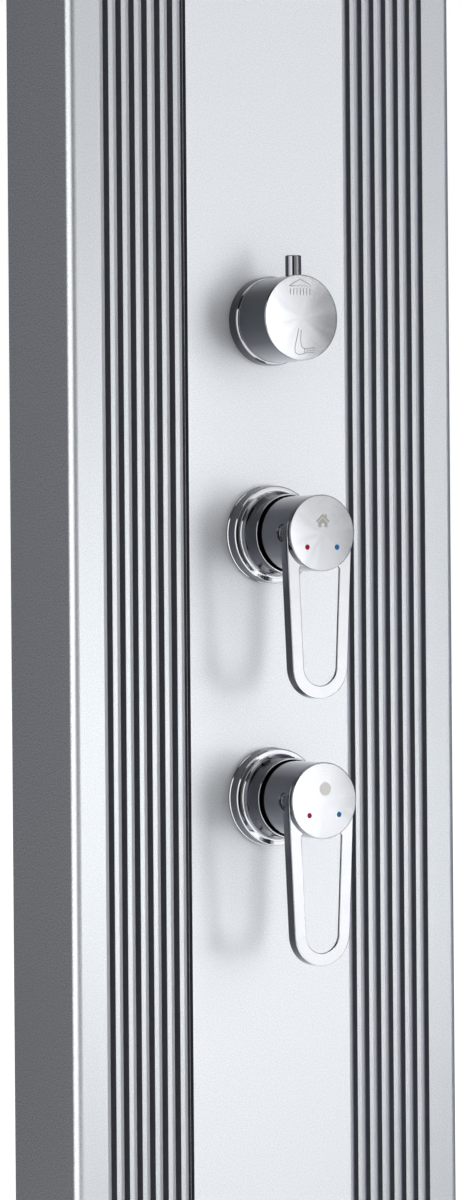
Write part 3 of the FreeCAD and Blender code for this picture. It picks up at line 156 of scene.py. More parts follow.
def painted_groove_shade():
    """Painted shade and light in the grooves: their walls are painted near black, and their floors pale.

    The painted light climbs the walls of the right hand grooves.
    """
    material, tree, shader, place = surface("painted_groove_shade", roughness=0.5)
    spot = add(tree, "ShaderNodeSeparateXYZ", {"Vector": place}).outputs
    # one height left of the middle of the column, and the other right of it
    painted_light_top = add(tree, "ShaderNodeMapRange", {
        "Value": spot["X"], "From Min": -1 * MM, "From Max": 1 * MM,
        "To Min": LEFT_PAINTED_LIGHT * MM, "To Max": RIGHT_PAINTED_LIGHT * MM}).outputs["Result"]
    floor = add(tree, "ShaderNodeMapRange", {
        "Value": spot["Y"], "From Min": painted_light_top, "From Max": GROOVE_FLOOR * MM}).outputs["Result"]
    # the painted shade on the walls is mottled in spots about 2.5 mm wide
    mottle = add(tree, "ShaderNodeTexNoise", {
        "Vector": place, "Scale": 1 / (2.5 * MM), "Detail": 3.0}).outputs["Fac"]
    dark = add(tree, "ShaderNodeMix", {
        SHARE: mottle, FIRST: linear("#181B26"), SECOND: linear("#262A38")}, data_type="RGBA")
    tone = add(tree, "ShaderNodeMix", {
        SHARE: floor, FIRST: dark.outputs[BLEND], SECOND: linear("#F2F5FC")}, data_type="RGBA")
    feed(tree, shader, {"Base Color": tone.outputs[BLEND]})
    return material


def galvanised_steel():
    """Hot-dip galvanised steel sheet: dull grey zinc, frozen in faint spangles about 9 mm wide."""
    material, tree, shader, place = surface("galvanised_steel", metallic=1.0)
    spangle = add(tree, "ShaderNodeTexVoronoi", {"Vector": place, "Scale": 1 / (9 * MM)})
    shade = add(tree, "ShaderNodeSeparateColor", {"Color": spangle.outputs["Color"]}).outputs["Red"]
    tone = add(tree, "ShaderNodeMix", {
        SHARE: shade, FIRST: linear("#9A9EA2"), SECOND: linear("#B9BDC1")}, data_type="RGBA")
    gloss = add(tree, "ShaderNodeMapRange", {"Value": shade, "To Min": 0.38, "To Max": 0.56})
    feed(tree, shader, {"Base Color": tone.outputs[BLEND], "Roughness": gloss.outputs["Result"]})
    return material


def grained_plastic(name, dark, light, roughness):
    """Moulded plastic, rubber or thick ink with a fine grain: matt highlights that break up close by."""
    material, tree, shader, place = surface(name, roughness=roughness)
    # the grain is 0.4 mm, drawn 1.2 mm wide so that it shows
    grain = add(tree, "ShaderNodeTexVoronoi", {
        "Vector": place, "Scale": 1 / (1.2 * MM)}, feature="SMOOTH_F1").outputs["Distance"]
    # the colour drifts over clouds about 40 mm wide
    cloud = add(tree, "ShaderNodeTexNoise", {
        "Vector": place, "Scale": 1 / (40 * MM), "Detail": 4.0}).outputs["Fac"]
    tone = add(tree, "ShaderNodeMix", {
        SHARE: cloud, FIRST: linear(dark), SECOND: linear(light)}, data_type="RGBA")
    bump = add(tree, "ShaderNodeBump", {"Strength": 0.3, "Distance": 0.05 * MM, "Height": grain})
    feed(tree, shader, {"Base Color": tone.outputs[BLEND], "Normal": bump.outputs["Normal"]})
    return material


# Materials of the fittings

def hazed_metal(name, dark, light, low, high, size):
    """A metal with a slightly uneven polish: tone and roughness drift over patches of a size in mm."""
    material, tree, shader, place = surface(name, metallic=1.0)
    haze = add(tree, "ShaderNodeTexNoise", {
        "Vector": place, "Scale": 1 / (size * MM), "Detail": 4.0}).outputs["Fac"]
    spread = add(tree, "ShaderNodeMapRange", {"Value": haze, **NOISE_RANGE}).outputs["Result"]
    tone = add(tree, "ShaderNodeMix", {
        SHARE: spread, FIRST: linear(dark), SECOND: linear(light)}, data_type="RGBA")
    gloss = add(tree, "ShaderNodeMapRange", {"Value": spread, "To Min": low, "To Max": high})
    feed(tree, shader, {"Base Color": tone.outputs[BLEND], "Roughness": gloss.outputs["Result"]})
    return material


def chrome_with_painted_shade(name, face, side, roughness, least, most, arm=None):
    """Chrome on a casting, with its sides painted darker than its faces: a painted shade that stands for the
    dark they mirror.

    A handle also has arms, which start below a height in metres.
    """
    material, tree, shader, place = surface(name, metallic=1.0)
    # the polish is uneven over patches about 12 mm wide
    haze = add(tree, "ShaderNodeTexNoise", {
        "Vector": place, "Scale": 1 / (12 * MM), "Detail": 4.0}).outputs["Fac"]
    bright = add(tree, "ShaderNodeMix", {
        SHARE: haze, FIRST: linear(face[0]), SECOND: linear(face[1])}, data_type="RGBA").outputs[BLEND]
    painted_shade = add(tree, "ShaderNodeMix", {
        SHARE: haze, FIRST: linear(side[0]), SECOND: linear(side[1])}, data_type="RGBA").outputs[BLEND]
    if arm:
        # painted light and shade: the top of a handle's hub is painted lighter, and the thin sides of its
        # arms darker than the hub
        painted_shade = add(tree, "ShaderNodeMix", {
            SHARE: facing(tree, 0.6, 1.0, "Z"), FIRST: painted_shade, SECOND: linear("#B4B6BA")},
            data_type="RGBA").outputs[BLEND]
        height = add(tree, "ShaderNodeSeparateXYZ", {"Vector": place}).outputs["Z"]
        below = add(tree, "ShaderNodeMapRange", {
            "Value": height, "From Min": arm, "From Max": arm - 12 * MM}).outputs["Result"]
        painted_shade = add(tree, "ShaderNodeMix", {
            SHARE: below, FIRST: painted_shade, SECOND: linear("#4C4F55")}, data_type="RGBA").outputs[BLEND]
    tone = add(tree, "ShaderNodeMix", {
        SHARE: facing(tree, least, most), FIRST: painted_shade, SECOND: bright}, data_type="RGBA")
    gloss = add(tree, "ShaderNodeMapRange", {
        "Value": haze, "To Min": roughness * 0.7, "To Max": roughness * 1.3})
    feed(tree, shader, {"Base Color": tone.outputs[BLEND], "Roughness": gloss.outputs["Result"]})
    return material


def turned_chrome(name, node, dark, light, crown, slope):
    """Chrome on a turned face: a mirror with fine rings, a fan of soft streaks in painted sheen, and a rim
    in painted shade.

    The face is crowned by some millimetres at its middle, and leans by a slope along each axis.
    """
    low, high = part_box(node)
    radius = (high.x - low.x) / 2
    material, tree, shader, place = surface(name, metallic=1.0)
    centre = (0.0, 0.0, -(low.z + high.z) / 2)
    local = add(tree, "ShaderNodeMapping", {"Vector": place, "Location": centre}).outputs["Vector"]
    flat = add(tree, "ShaderNodeVectorMath", {
        0: local, 1: (1.0, 0.0, 1.0)}, operation="MULTIPLY").outputs["Vector"]
    out = add(tree, "ShaderNodeVectorMath", {0: flat}, operation="LENGTH").outputs["Value"]
    # the rings are about 0.05 mm apart, drawn 1.1 mm apart so that they show
    rings = add(tree, "ShaderNodeTexNoise", {
        "W": out, "Scale": 1 / (1.1 * MM), "Detail": 2.0}, noise_dimensions="1D").outputs["Fac"]
    # painted sheen: the streaks fan out from the middle, a few broad ones round the face, in the colour as
    # well as the roughness
    ray = add(tree, "ShaderNodeVectorMath", {0: flat}, operation="NORMALIZE").outputs["Vector"]
    fan = add(tree, "ShaderNodeTexNoise", {"Vector": ray, "Scale": 2.5, "Detail": 1.0}).outputs["Fac"]
    # the rings count for about a third as much as the streaks
    both = add(tree, "ShaderNodeMath", {
        0: rings, 1: 0.35, 2: fan}, operation="MULTIPLY_ADD").outputs["Value"]
    marks_and_sheen = add(tree, "ShaderNodeMapRange", {
        "Value": both, "From Min": 0.45, "From Max": 0.9}).outputs["Result"]
    face = add(tree, "ShaderNodeMix", {
        SHARE: marks_and_sheen, FIRST: linear(dark), SECOND: linear(light)}, data_type="RGBA")
    # painted shade: the rim is painted darker than the face, and less dark on top, as painted light
    rim = add(tree, "ShaderNodeMix", {
        SHARE: facing(tree, 0.6, 1.0, "Z"), FIRST: linear("#5A5D63"), SECOND: linear("#A4A7AC")},
        data_type="RGBA")
    tone = add(tree, "ShaderNodeMix", {
        SHARE: facing(tree, 0.5, 0.9), FIRST: rim.outputs[BLEND], SECOND: face.outputs[BLEND]},
        data_type="RGBA")
    gloss = add(tree, "ShaderNodeMapRange", {"Value": marks_and_sheen, "To Min": 0.14, "To Max": 0.19})
    # the crown falls away with the square of the distance from the middle
    share = add(tree, "ShaderNodeMath", {0: out, 1: radius}, operation="DIVIDE").outputs["Value"]
    fall = add(tree, "ShaderNodeMath", {0: share, 1: 2.0}, operation="POWER").outputs["Value"]
    lean = add(tree, "ShaderNodeVectorMath", {
        0: local, 1: slope}, operation="DOT_PRODUCT").outputs["Value"]
    rise = add(tree, "ShaderNodeMath", {
        0: fall, 1: -crown * MM, 2: lean}, operation="MULTIPLY_ADD").outputs["Value"]
    bump = add(tree, "ShaderNodeBump", {"Strength": 1.0, "Distance": 1.0, "Height": rise})
    feed(tree, shader, {
        "Base Color": tone.outputs[BLEND], "Roughness": gloss.outputs["Result"],
        "Normal": bump.outputs["Normal"]})
    return material


def enamel(name, dark, light):
    """A drop of baked enamel: glossy, with a slightly deeper colour where it lies thick."""
    material, tree, shader, place = surface(name, roughness=0.3)
    # the colour pools in spots about 1.5 mm wide
    pool = add(tree, "ShaderNodeTexNoise", {
        "Vector": place, "Scale": 1 / (1.5 * MM), "Detail": 2.0}).outputs["Fac"]
    tone = add(tree, "ShaderNodeMix", {
        SHARE: pool, FIRST: linear(dark), SECOND: linear(light)}, data_type="RGBA")
    feed(tree, shader, {"Base Color": tone.outputs[BLEND], "Specular IOR Level": 0.2})
    return material


# Finishes of the solids

# a hazed metal has its two tones, its least and most roughness, and the size of its patches
silver = silver_lacquer()
groove_shade = painted_groove_shade()
# painted shade: the chrome plugs on the sides of the hubs are painted dark like the hub sides
plug_painted_shade = hazed_metal("chrome_plug_painted_shade", "#5C5F64", "#686B70", 0.2, 0.3, 4)
steel = hazed_metal("stainless_steel", "#A9ACAF", "#BFC2C5", 0.22, 0.36, 3)
etching = hazed_metal("etched_chrome", "#7C7F84", "#8C8F94", 0.45, 0.6, 1.2)
brass = hazed_metal("machined_brass", "#B99752", "#CDAE6A", 0.25, 0.4, 6)
# painted shade: the brass of the mixer bodies and the fixing nuts is painted near black, where they lie in
# shade
brass_painted_shade = hazed_metal("brass_painted_near_black", "#141516", "#1E1F21", 0.3, 0.45, 5)
house_ink = grained_plastic("grey_print_ink", "#878580", "#93918C", 0.6)
sun_ink = grained_plastic("pale_print_ink", "#AFAEAB", "#B9B8B5", 0.6)
red_enamel = enamel("red_enamel", "#6E001C", "#820428")
blue_enamel = enamel("blue_enamel", "#004C7C", "#065888")
FINISHES = {
    "satin_aluminium": silver,
    "grey_cap": grained_plastic("grey_moulded_plastic", "#8F9296", "#999CA0", 0.5),
    "galvanised_steel": galvanised_steel(),
    "screw_steel": steel,
    "chrome": hazed_metal("polished_chrome", "#AEB0B4", "#B6B8BC", 0.03, 0.08, 14),
    "satin_chrome": hazed_metal("satin_chrome", "#BFC2C6", "#CACDD1", 0.16, 0.24, 9),
    "brass": brass,
    "black_plastic": grained_plastic("black_plastic", "#1B1C1E", "#242527", 0.45),
    "white_plastic": grained_plastic("white_plastic", "#DADAD6", "#E4E4E1", 0.4),
    "plated_plastic": hazed_metal("plated_plastic", "#C6C9CC", "#D0D3D6", 0.06, 0.12, 20),
    "rubber": grained_plastic("nitrile_rubber", "#28292B", "#323335", 0.7),
    "black_tank": grained_plastic("black_polyethylene", "#18191B", "#202123", 0.55),
    "copper_pipe": hazed_metal("drawn_copper", "#B36A48", "#C98560", 0.25, 0.4, 25),
}

# the two tones of the faces and of the sides of castings, whose darker sides are painted shade
RING_FACES = ("#AEB0B4", "#BABCC0")
PLAIN_CHROME_FACES = ("#CCCED2", "#D6D8DC")
PAINTED_SHADE_SIDES = ("#43464C", "#505359")
LEVER_PAINTED_SHADE = ("#62656B", "#70737A")
DRUM_PAINTED_SHADE = ("#5C5F65", "#6A6D73")
ring_chrome = chrome_with_painted_shade(
    "cast_chrome_ring", RING_FACES, PAINTED_SHADE_SIDES, roughness=0.08, least=0.25, most=0.75)
rosette_chrome = chrome_with_painted_shade(
    "cast_chrome_rosette", PLAIN_CHROME_FACES, PAINTED_SHADE_SIDES, roughness=0.07, least=0.2, most=0.65)
drum_chrome = chrome_with_painted_shade(
    "cast_chrome_drum", PLAIN_CHROME_FACES, DRUM_PAINTED_SHADE, roughness=0.1, least=0.2, most=0.65)


def dress(name, material):
    """Gives a node of the solids its finish."""
    nodes[name].material_slots[0].material = material


for name, node in nodes.items():
    dress(name, FINISHES[node.material_slots[0].material.name])
dress("centre_panel", silver_panel())
dress("fixing_nuts", brass_painted_shade)
dress("diverter_ring", ring_chrome)
dress("diverter_pin", ring_chrome)
dress("diverter_knob", turned_chrome(
    "turned_chrome_knob", "diverter_knob", "#CED0D4", "#D6D8DC", crown=0.6, slope=(-0.024, 0.0, 0.1)))
for name, dark, light in (("house", "#BCBEC2", "#C2C4C8"), ("solar", "#CACCD0", "#D0D2D6")):
    cap_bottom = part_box(f"{name}_lever_cap")[0].z
    dress(f"{name}_mixer_body", brass_painted_shade)
    dress(f"{name}_lever", chrome_with_painted_shade(
        f"chrome_with_painted_shade_{name}_lever", PLAIN_CHROME_FACES, LEVER_PAINTED_SHADE, roughness=0.07, least=0.25, most=0.75,
        arm=cap_bottom))
    dress(f"{name}_lever_cap", turned_chrome(
        f"turned_chrome_{name}", f"{name}_lever_cap", dark, light, crown=0.35, slope=(-0.01, 0.0, 0.0)))


# Modelling

# points closer than this are one, points this near to a corner lie on it, and sharper edges stay sharp
MERGED, ON_CORNER, SHARP_ANGLE = 0.001 * MM, 0.01 * MM, math.radians(32)
# turns that point a piece's own Z out of the front, the back, the left or the right of the column
QUARTER = math.radians(90)
TO_FRONT, TO_BACK = Matrix.Rotation(QUARTER, 4, "X"), Matrix.Rotation(-QUARTER, 4, "X")
TO_LEFT, TO_RIGHT = Matrix.Rotation(-QUARTER, 4, "Y"), Matrix.Rotation(QUARTER, 4, "Y")


def mesh_data(mesh, name):
    """Ends the work on a mesh. Gives its data."""
    data = bpy.data.meshes.new(name)
    mesh.to_mesh(data)
    mesh.free()
    return data


def in_scene(name, data):
    """A new object in the scene."""
    item = bpy.data.objects.new(name, data)
    bpy.context.scene.collection.objects.link(item)
    return item


def piece(mesh, name, body, slot, *materials, place=Matrix()):
    """Closes a mesh, puts it in its place and lets it ride on a body of the solids."""
    bmesh.ops.transform(mesh, matrix=place, verts=mesh.verts)
    bmesh.ops.remove_doubles(mesh, verts=mesh.verts, dist=MERGED)
    bmesh.ops.recalc_face_normals(mesh, faces=mesh.faces)
    data = mesh_data(mesh, name)
    data.shade_smooth()
    data.set_sharp_from_angle(angle=SHARP_ANGLE)
    for material in materials:
        data.materials.append(material)
    item = in_scene(name, data)
    # flat faces stay flat in the shading, beside their rounded edges
    shading = item.modifiers.new("flat_faces", "WEIGHTED_NORMAL")
    shading.keep_sharp = True
    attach(item, body)
    return item


def points(geom):
    """The vertices among what an operator made."""
    return [item for item in geom if isinstance(item, bmesh.types.BMVert)]


def drawn(mesh, start, moves):
    """Draws a closed outline from a start by strokes, in millimetres across and along, and fills it."""
    point = mesh.verts.new((start[0] * MM, start[1] * MM, 0))
    outline = [point]
    for across, along in moves:
        point = bmesh.ops.extrude_vert_indiv(mesh, verts=[point])["verts"][0]
        bmesh.ops.translate(mesh, verts=[point], vec=(across * MM, along * MM, 0))
        outline.append(point)
    return mesh.faces.new(outline)


def raised(mesh, faces, height):
    """Pulls faces up by a height in millimetres, with walls round them."""
    made = bmesh.ops.extrude_face_region(mesh, geom=faces)["geom"]
    bmesh.ops.translate(mesh, verts=points(made), vec=(0, 0, height * MM))


def rounded(mesh, edges, radius, segments):
    """Rounds edges by a radius in millimetres."""
    bmesh.ops.bevel(
        mesh, geom=edges, offset=radius * MM, offset_type="OFFSET", segments=segments,
        profile=0.5, affect="EDGES", material=-1)


def turned(outline, steps):
    """A round form about Z, from radii and stations in millimetres, with the rounding of each corner."""
    mesh = bmesh.new()
    verts = [mesh.verts.new((radius * MM, 0, station * MM)) for radius, station, rounding in outline]
    edges = [mesh.edges.new(pair) for pair in zip(verts, verts[1:])]
    bmesh.ops.spin(
        mesh, geom=verts + edges, cent=(0, 0, 0), axis=(0, 0, 1), dvec=(0, 0, 0),
        angle=math.tau, steps=steps, use_merge=True)
    bmesh.ops.remove_doubles(mesh, verts=mesh.verts, dist=MERGED)
    for radius, station, rounding in outline:
        if rounding:
            corner = Vector((radius * MM, station * MM))
            spots = {v: Vector((v.co.xy.length, v.co.z)) for v in mesh.verts}
            rim = [v for v, spot in spots.items() if (spot - corner).length < ON_CORNER]
            ring = [edge for edge in mesh.edges if edge.verts[0] in rim and edge.verts[1] in rim]
            rounded(mesh, ring, rounding, segments=4)
    return mesh


def centre_of(node):
    """The middle of a node's box."""
    low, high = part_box(node)
    return (low + high) / 2


def on_face(node, across, up):
    """The place of something on the front of a round node, with its own Z pointing out of the face."""
    low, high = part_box(node)
    spot = Vector(((low.x + high.x) / 2 + across * MM, low.y, (low.z + high.z) / 2 + up * MM))
    return Matrix.Translation(spot) @ TO_FRONT


# The two fluted side profiles

left_low, left_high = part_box("left_profile")
SIDE, FRONT, BACK = left_low.x / MM, left_low.y / MM, left_high.y / MM
STRIP_WIDTH, GROOVE_WIDTH, GROOVE_DEPTH, RIB_WIDTH, RIBS = 22.1, 5.8, 7.2, 3.3, 6
# the ledge that the front sheet lies on: its edge from the middle of the column, and its depth
LEDGE, LEDGE_DEPTH = 57.5, 3.6
# the rounding of the front corner, the back corner, the ribs and the seam beside the sheet
CORNER_ROUND, BACK_ROUND, RIB_ROUND, SEAM_ROUND = 5.2, 1.2, 0.28, 0.6
# how near to a line an edge counts as on it, and how far down the ribs stay silver
NEAR, SILVER_LIP = 0.1, 0.3


def fluted_profile():
    """The left profile: a plain strip, seven grooves with six ribs, a ledge for the sheet, and its back."""
    mesh = bmesh.new()
    groove_and_rib = [(0, GROOVE_DEPTH), (GROOVE_WIDTH, 0), (0, -GROOVE_DEPTH), (RIB_WIDTH, 0)]
    strip = [(STRIP_WIDTH, 0)]
    ledge = [(0, GROOVE_DEPTH), (GROOVE_WIDTH, 0), (0, -LEDGE_DEPTH), (12, 0), (0, 6.1)]
    inside = [(-75.4, 0), (0, -6.7), (-16.1, 0), (0, 72)]
    rear = [(25, 0), (0, 3), (-25, 0), (0, 2), (-3, 0)]
    section = drawn(mesh, (SIDE, FRONT), strip + groove_and_rib * RIBS + ledge + inside + rear)
    raised(mesh, [section], (left_high.z - left_low.z) / MM)
    upright = [edge for edge in mesh.edges if abs(edge.verts[0].co.z - edge.verts[1].co.z) > 1]
    spots = {edge: edge.verts[0].co / MM for edge in upright}
    outer = [edge for edge, spot in spots.items() if spot.x < SIDE + NEAR]
    front = [edge for edge, spot in spots.items() if spot.y < FRONT + NEAR]
    corner = [edge for edge in front if edge in outer]
    ribs = [edge for edge in front if edge not in outer]
    back = [edge for edge in outer if spots[edge].y > BACK - NEAR]
    seam = [edge for edge, spot in spots.items()
            if abs(spot.x + LEDGE) < NEAR and abs(spot.y - FRONT - LEDGE_DEPTH) < NEAR]
    rounded(mesh, corner, CORNER_ROUND, segments=12)
    rounded(mesh, back, BACK_ROUND, segments=3)
    rounded(mesh, ribs, RIB_ROUND, segments=3)
    rounded(mesh, seam, SEAM_ROUND, segments=2)
    # the faces inside the grooves take the painted groove shade, the rest the silver lacquer
    for face in mesh.faces:
        spot = face.calc_center_median() / MM
        in_band = SIDE + STRIP_WIDTH - NEAR < spot.x < -SHEET_EDGE
        in_depth = FRONT + SILVER_LIP < spot.y < FRONT + GROOVE_DEPTH + NEAR
        face.material_index = 1 if in_band and in_depth else 0
    return mesh


low_end = Matrix.Translation((0, 0, left_low.z))
mirrored = low_end @ Matrix.Diagonal((-1, 1, 1, 1))
left = piece(
    fluted_profile(), "left_fluted_profile", "column", "satin_aluminium", silver, groove_shade, place=low_end)
right = piece(
    fluted_profile(), "right_fluted_profile", "column", "satin_aluminium", silver, groove_shade, place=mirrored)
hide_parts("left_profile")
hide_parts("right_profile")


# Rosettes behind the two mixer handles

# the wall of the drum lies outside this radius and below this station
DRUM_RADIUS, DRUM_EDGE = 30.0, 8.8


def rosette():
    """A flat bell: a lip on the sheet, a drum with a flat face, and a collar that flares into the face."""
    lip = [(24.0, 0, 0), (30.8, 0, 0), (30.8, 1.0, 0.4), (30.3, 1.4, 0.1)]
    drum = [(30.3, 9.0, 0.7), (29.6, 9.5, 0.2)]
    collar = [(26.6, 9.55, 0.8), (25.4, 12.2, 1.0), (24.9, 17.0, 1.5), (24.9, 26.0, 0.4)]
    bore = [(24.0, 26.0, 0.2), (24.0, 0, 0)]
    mesh = turned(lip + drum + collar + bore, 96)
    # the wall of the drum takes its own painted shade, a little lighter than the other sides
    for face in mesh.faces:
        spot = face.calc_center_median() / MM
        face.material_index = 1 if spot.xy.length > DRUM_RADIUS and spot.z < DRUM_EDGE else 0
    return mesh


for name in ("house", "solar"):
    middle = centre_of(f"{name}_escutcheon")
    place = Matrix.Translation((middle.x, FRONT * MM, middle.z)) @ TO_FRONT
    cover = piece(
        rosette(), f"{name}_rosette", "column", "chrome", rosette_chrome, drum_chrome, place=place)
    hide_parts(f"{name}_escutcheon")


# Plugs over the set screws of the handles

# every second of these steps round the rim is milled, outside this radius, to this share of it
PLUG_STEPS, MILLED_RADIUS, MILLED_SHARE = 60, 4.9, 0.96


def lever_plug():
    """A small round cover with a milled rim and a dished middle, a little below the hub's side."""
    dish = [(0, 22.0, 0), (3.6, 22.0, 0), (4.0, 22.3, 0.1), (5.2, 22.4, 0.2), (5.2, 21.3, 0)]
    mesh = turned(dish, PLUG_STEPS)
    around = {v: round(math.atan2(v.co.y, v.co.x) / math.tau * PLUG_STEPS) for v in mesh.verts}
    rim = [v for v in mesh.verts if v.co.xy.length > MILLED_RADIUS * MM and around[v] % 2]
    bmesh.ops.scale(mesh, verts=rim, vec=(MILLED_SHARE, MILLED_SHARE, 1))
    return mesh


for name in ("house", "solar"):
    screw = centre_of(f"{name}_grub_screw")
    place = Matrix.Translation((0, screw.y, screw.z)) @ TO_LEFT
    plug = piece(lever_plug(), f"{name}_lever_plug", f"{name}_handle", "chrome", plug_painted_shade, place=place)
    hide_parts(f"{name}_grub_screw")


# Screws on the back and the sides

HEAD_RADIUS, HEAD_HEIGHT, SHANK_RADIUS = 3.8, 2.4, 2.0
SOCKET_RADIUS, SOCKET_FLOOR, SOCKET_DEPTH = 1.6, 1.0, 1.35
# the lengths of the shanks in the top cap and in the brackets
CAP_SHANK, BRACKET_SHANK = 6.0, 6.6


def socket_screws(length, places):
    """Button-head screws with hexagon sockets: one at each place, seated there, with its head along Z."""
    shank = [(0, -length, 0), (SHANK_RADIUS, -length, 0), (SHANK_RADIUS, 0, 0)]
    head = [(HEAD_RADIUS, 0, 0), (HEAD_RADIUS, 0.8, 0.2), (3.2, 1.9, 0.5), (2.1, HEAD_HEIGHT, 0)]
    mesh = turned(shank + head, 24)
    rim = [edge for edge in mesh.edges if edge.is_boundary]
    socket = bmesh.ops.create_circle(
        mesh, cap_ends=True, radius=SOCKET_RADIUS * MM, segments=6)["verts"]
    bmesh.ops.translate(mesh, verts=socket, vec=(0, 0, SOCKET_FLOOR * MM))
    floor_edges = list({edge for vert in socket for edge in vert.link_edges})
    walls = bmesh.ops.extrude_edge_only(mesh, edges=floor_edges)["geom"]
    bmesh.ops.translate(mesh, verts=points(walls), vec=(0, 0, SOCKET_DEPTH * MM))
    mouth = [edge for edge in mesh.edges if edge.is_boundary and edge not in rim]
    bmesh.ops.bridge_loops(mesh, edges=rim + mouth)
    first = mesh.verts[:] + mesh.edges[:] + mesh.faces[:]
    for place in places[1:]:
        copy = bmesh.ops.duplicate(mesh, geom=first)["geom"]
        bmesh.ops.transform(mesh, matrix=place, verts=points(copy))
    bmesh.ops.transform(mesh, matrix=places[0], verts=points(first))
    return mesh


def side_seats(low, high, spread, height):
    """The seats of four screws in the sides of the column, two on each side."""
    ends = ((low.x + HEAD_HEIGHT * MM, TO_LEFT), (high.x - HEAD_HEIGHT * MM, TO_RIGHT))
    return [Matrix.Translation((x, y, height)) @ turn for x, turn in ends for y in (-spread, spread)]


# two columns of six screws in the rear panel
REAR_ROWS = 6
low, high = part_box("rear_panel_screws")
first_row, last_row = low.z + HEAD_RADIUS * MM, high.z - HEAD_RADIUS * MM
rows = [first_row + (last_row - first_row) * row / (REAR_ROWS - 1) for row in range(REAR_ROWS)]
seats = [Matrix.Translation((x, high.y - HEAD_HEIGHT * MM, z)) @ TO_BACK
         for x in (low.x + HEAD_RADIUS * MM, high.x - HEAD_RADIUS * MM) for z in rows]
screws = piece(
    socket_screws((high.y - low.y) / MM - HEAD_HEIGHT, seats),
    "rear_panel_socket_screws", "column", "screw_steel", steel)
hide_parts("rear_panel_screws")

low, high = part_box("top_cap_screws")
seats = side_seats(low, high, high.y - HEAD_RADIUS * MM, high.z - HEAD_RADIUS * MM)
screws = piece(socket_screws(CAP_SHANK, seats), "top_cap_socket_screws", "column", "screw_steel", steel)
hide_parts("top_cap_screws")

# the brackets have four such screws, and four larger ones with the same heads in their feet,
# which lie this far to the sides and are seated this far above their ends
FOOT_HEAD_RADIUS, FOOT_HEAD_HEIGHT, FOOT_SIDE, FOOT_SEAT = 5.5, 4, 107, 11
low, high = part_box("bracket_screws")
spread = high.y - FOOT_HEAD_RADIUS * MM
wider, taller = FOOT_HEAD_RADIUS / HEAD_RADIUS, FOOT_HEAD_HEIGHT / HEAD_HEIGHT
larger = Matrix.Diagonal((wider, wider, taller, 1))
seats = side_seats(low, high, spread, high.z - HEAD_RADIUS * MM)
seats += [Matrix.Translation((x, y, low.z + FOOT_SEAT * MM)) @ larger
          for x in (-FOOT_SIDE * MM, FOOT_SIDE * MM) for y in (-spread, spread)]
screws = piece(
    socket_screws(BRACKET_SHANK, seats), "bracket_socket_screws", "column", "screw_steel", steel)
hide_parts("bracket_screws")


# Water inlets at the back

PITCH, TURNS, STEPS = 1.814, 10, 32
# how far a tail reaches inside, how far its mouth stands out, and the radius of its bore
TAIL, MOUTH, BORE = 26, 27, 7.0


def threaded_inlet():
    """A brass tail: a collar on the rear panel and a half-inch pipe thread, with its mouth along Z."""
    tail = [(BORE, -TAIL, 0), (10.48, -TAIL, 0.5), (10.48, 0, 0), (15.0, 0, 0.4), (15.0, 5, 0.7)]
    mouth = [(9.6, 5, 0), (9.6, MOUTH, 0.7), (BORE, MOUTH, 0.4), (BORE, -TAIL, 0)]
    mesh = turned(tail + mouth, 48)
    ridge = [mesh.verts.new((radius * MM, 0, station * MM))
             for radius, station in ((9.4, 6.0), (10.4, 6.7), (10.4, 7.0), (9.4, 7.7))]
    sides = [mesh.edges.new(pair) for pair in zip(ridge, ridge[1:] + ridge[:1])]
    bmesh.ops.spin(
        mesh, geom=ridge + sides, cent=(0, 0, 0), axis=(0, 0, 1), dvec=(0, 0, PITCH / STEPS * MM),
        angle=math.tau * TURNS, steps=STEPS * TURNS, use_merge=False)
    bmesh.ops.holes_fill(mesh, edges=[edge for edge in mesh.edges if edge.is_boundary], sides=4)
    return mesh


for name in ("cold", "hot"):
    low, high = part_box(f"{name}_inlet")
    collar = Vector(((low.x + high.x) / 2, low.y + TAIL * MM, (low.z + high.z) / 2))
    place = Matrix.Translation(collar) @ TO_BACK
    inlet = piece(threaded_inlet(), f"{name}_threaded_inlet", "column", "brass", brass, place=place)
    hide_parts(f"{name}_inlet")


# Marks on the handles

# sizes of the marks, and their places across and up from the middle of a face
LINE_WIDTH, INK_HEIGHT, SUN_RADIUS, SUN_NOTCH = 0.36, 0.06, 4.15, 0.95
HOUSE_SPOT, SUN_SPOT, HOT_SPOT, COLD_SPOT = (0.6, 7.2), (0.8, 7.2), (-10.7, -8.7), (10.7, -8.7)


def engraved(name, body, node, strokes):
    """Fine lines etched on a face, each through places across and up from its centre, in millimetres."""
    spot = centre_of(node)
    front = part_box(node)[0].y
    data = bpy.data.curves.new(name, "CURVE")
    data.dimensions = "3D"
    data.bevel_depth = LINE_WIDTH / 2 * MM
    data.bevel_resolution = 2
    data.use_fill_caps = True
    data.materials.append(etching)
    for stroke in strokes:
        line = data.splines.new("POLY")
        line.points.add(len(stroke) - 1)
        for point, (across, up) in zip(line.points, stroke):
            point.co = (spot.x + across * MM, front, spot.z + up * MM, 1)
    item = in_scene(name, data)
    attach(item, body)


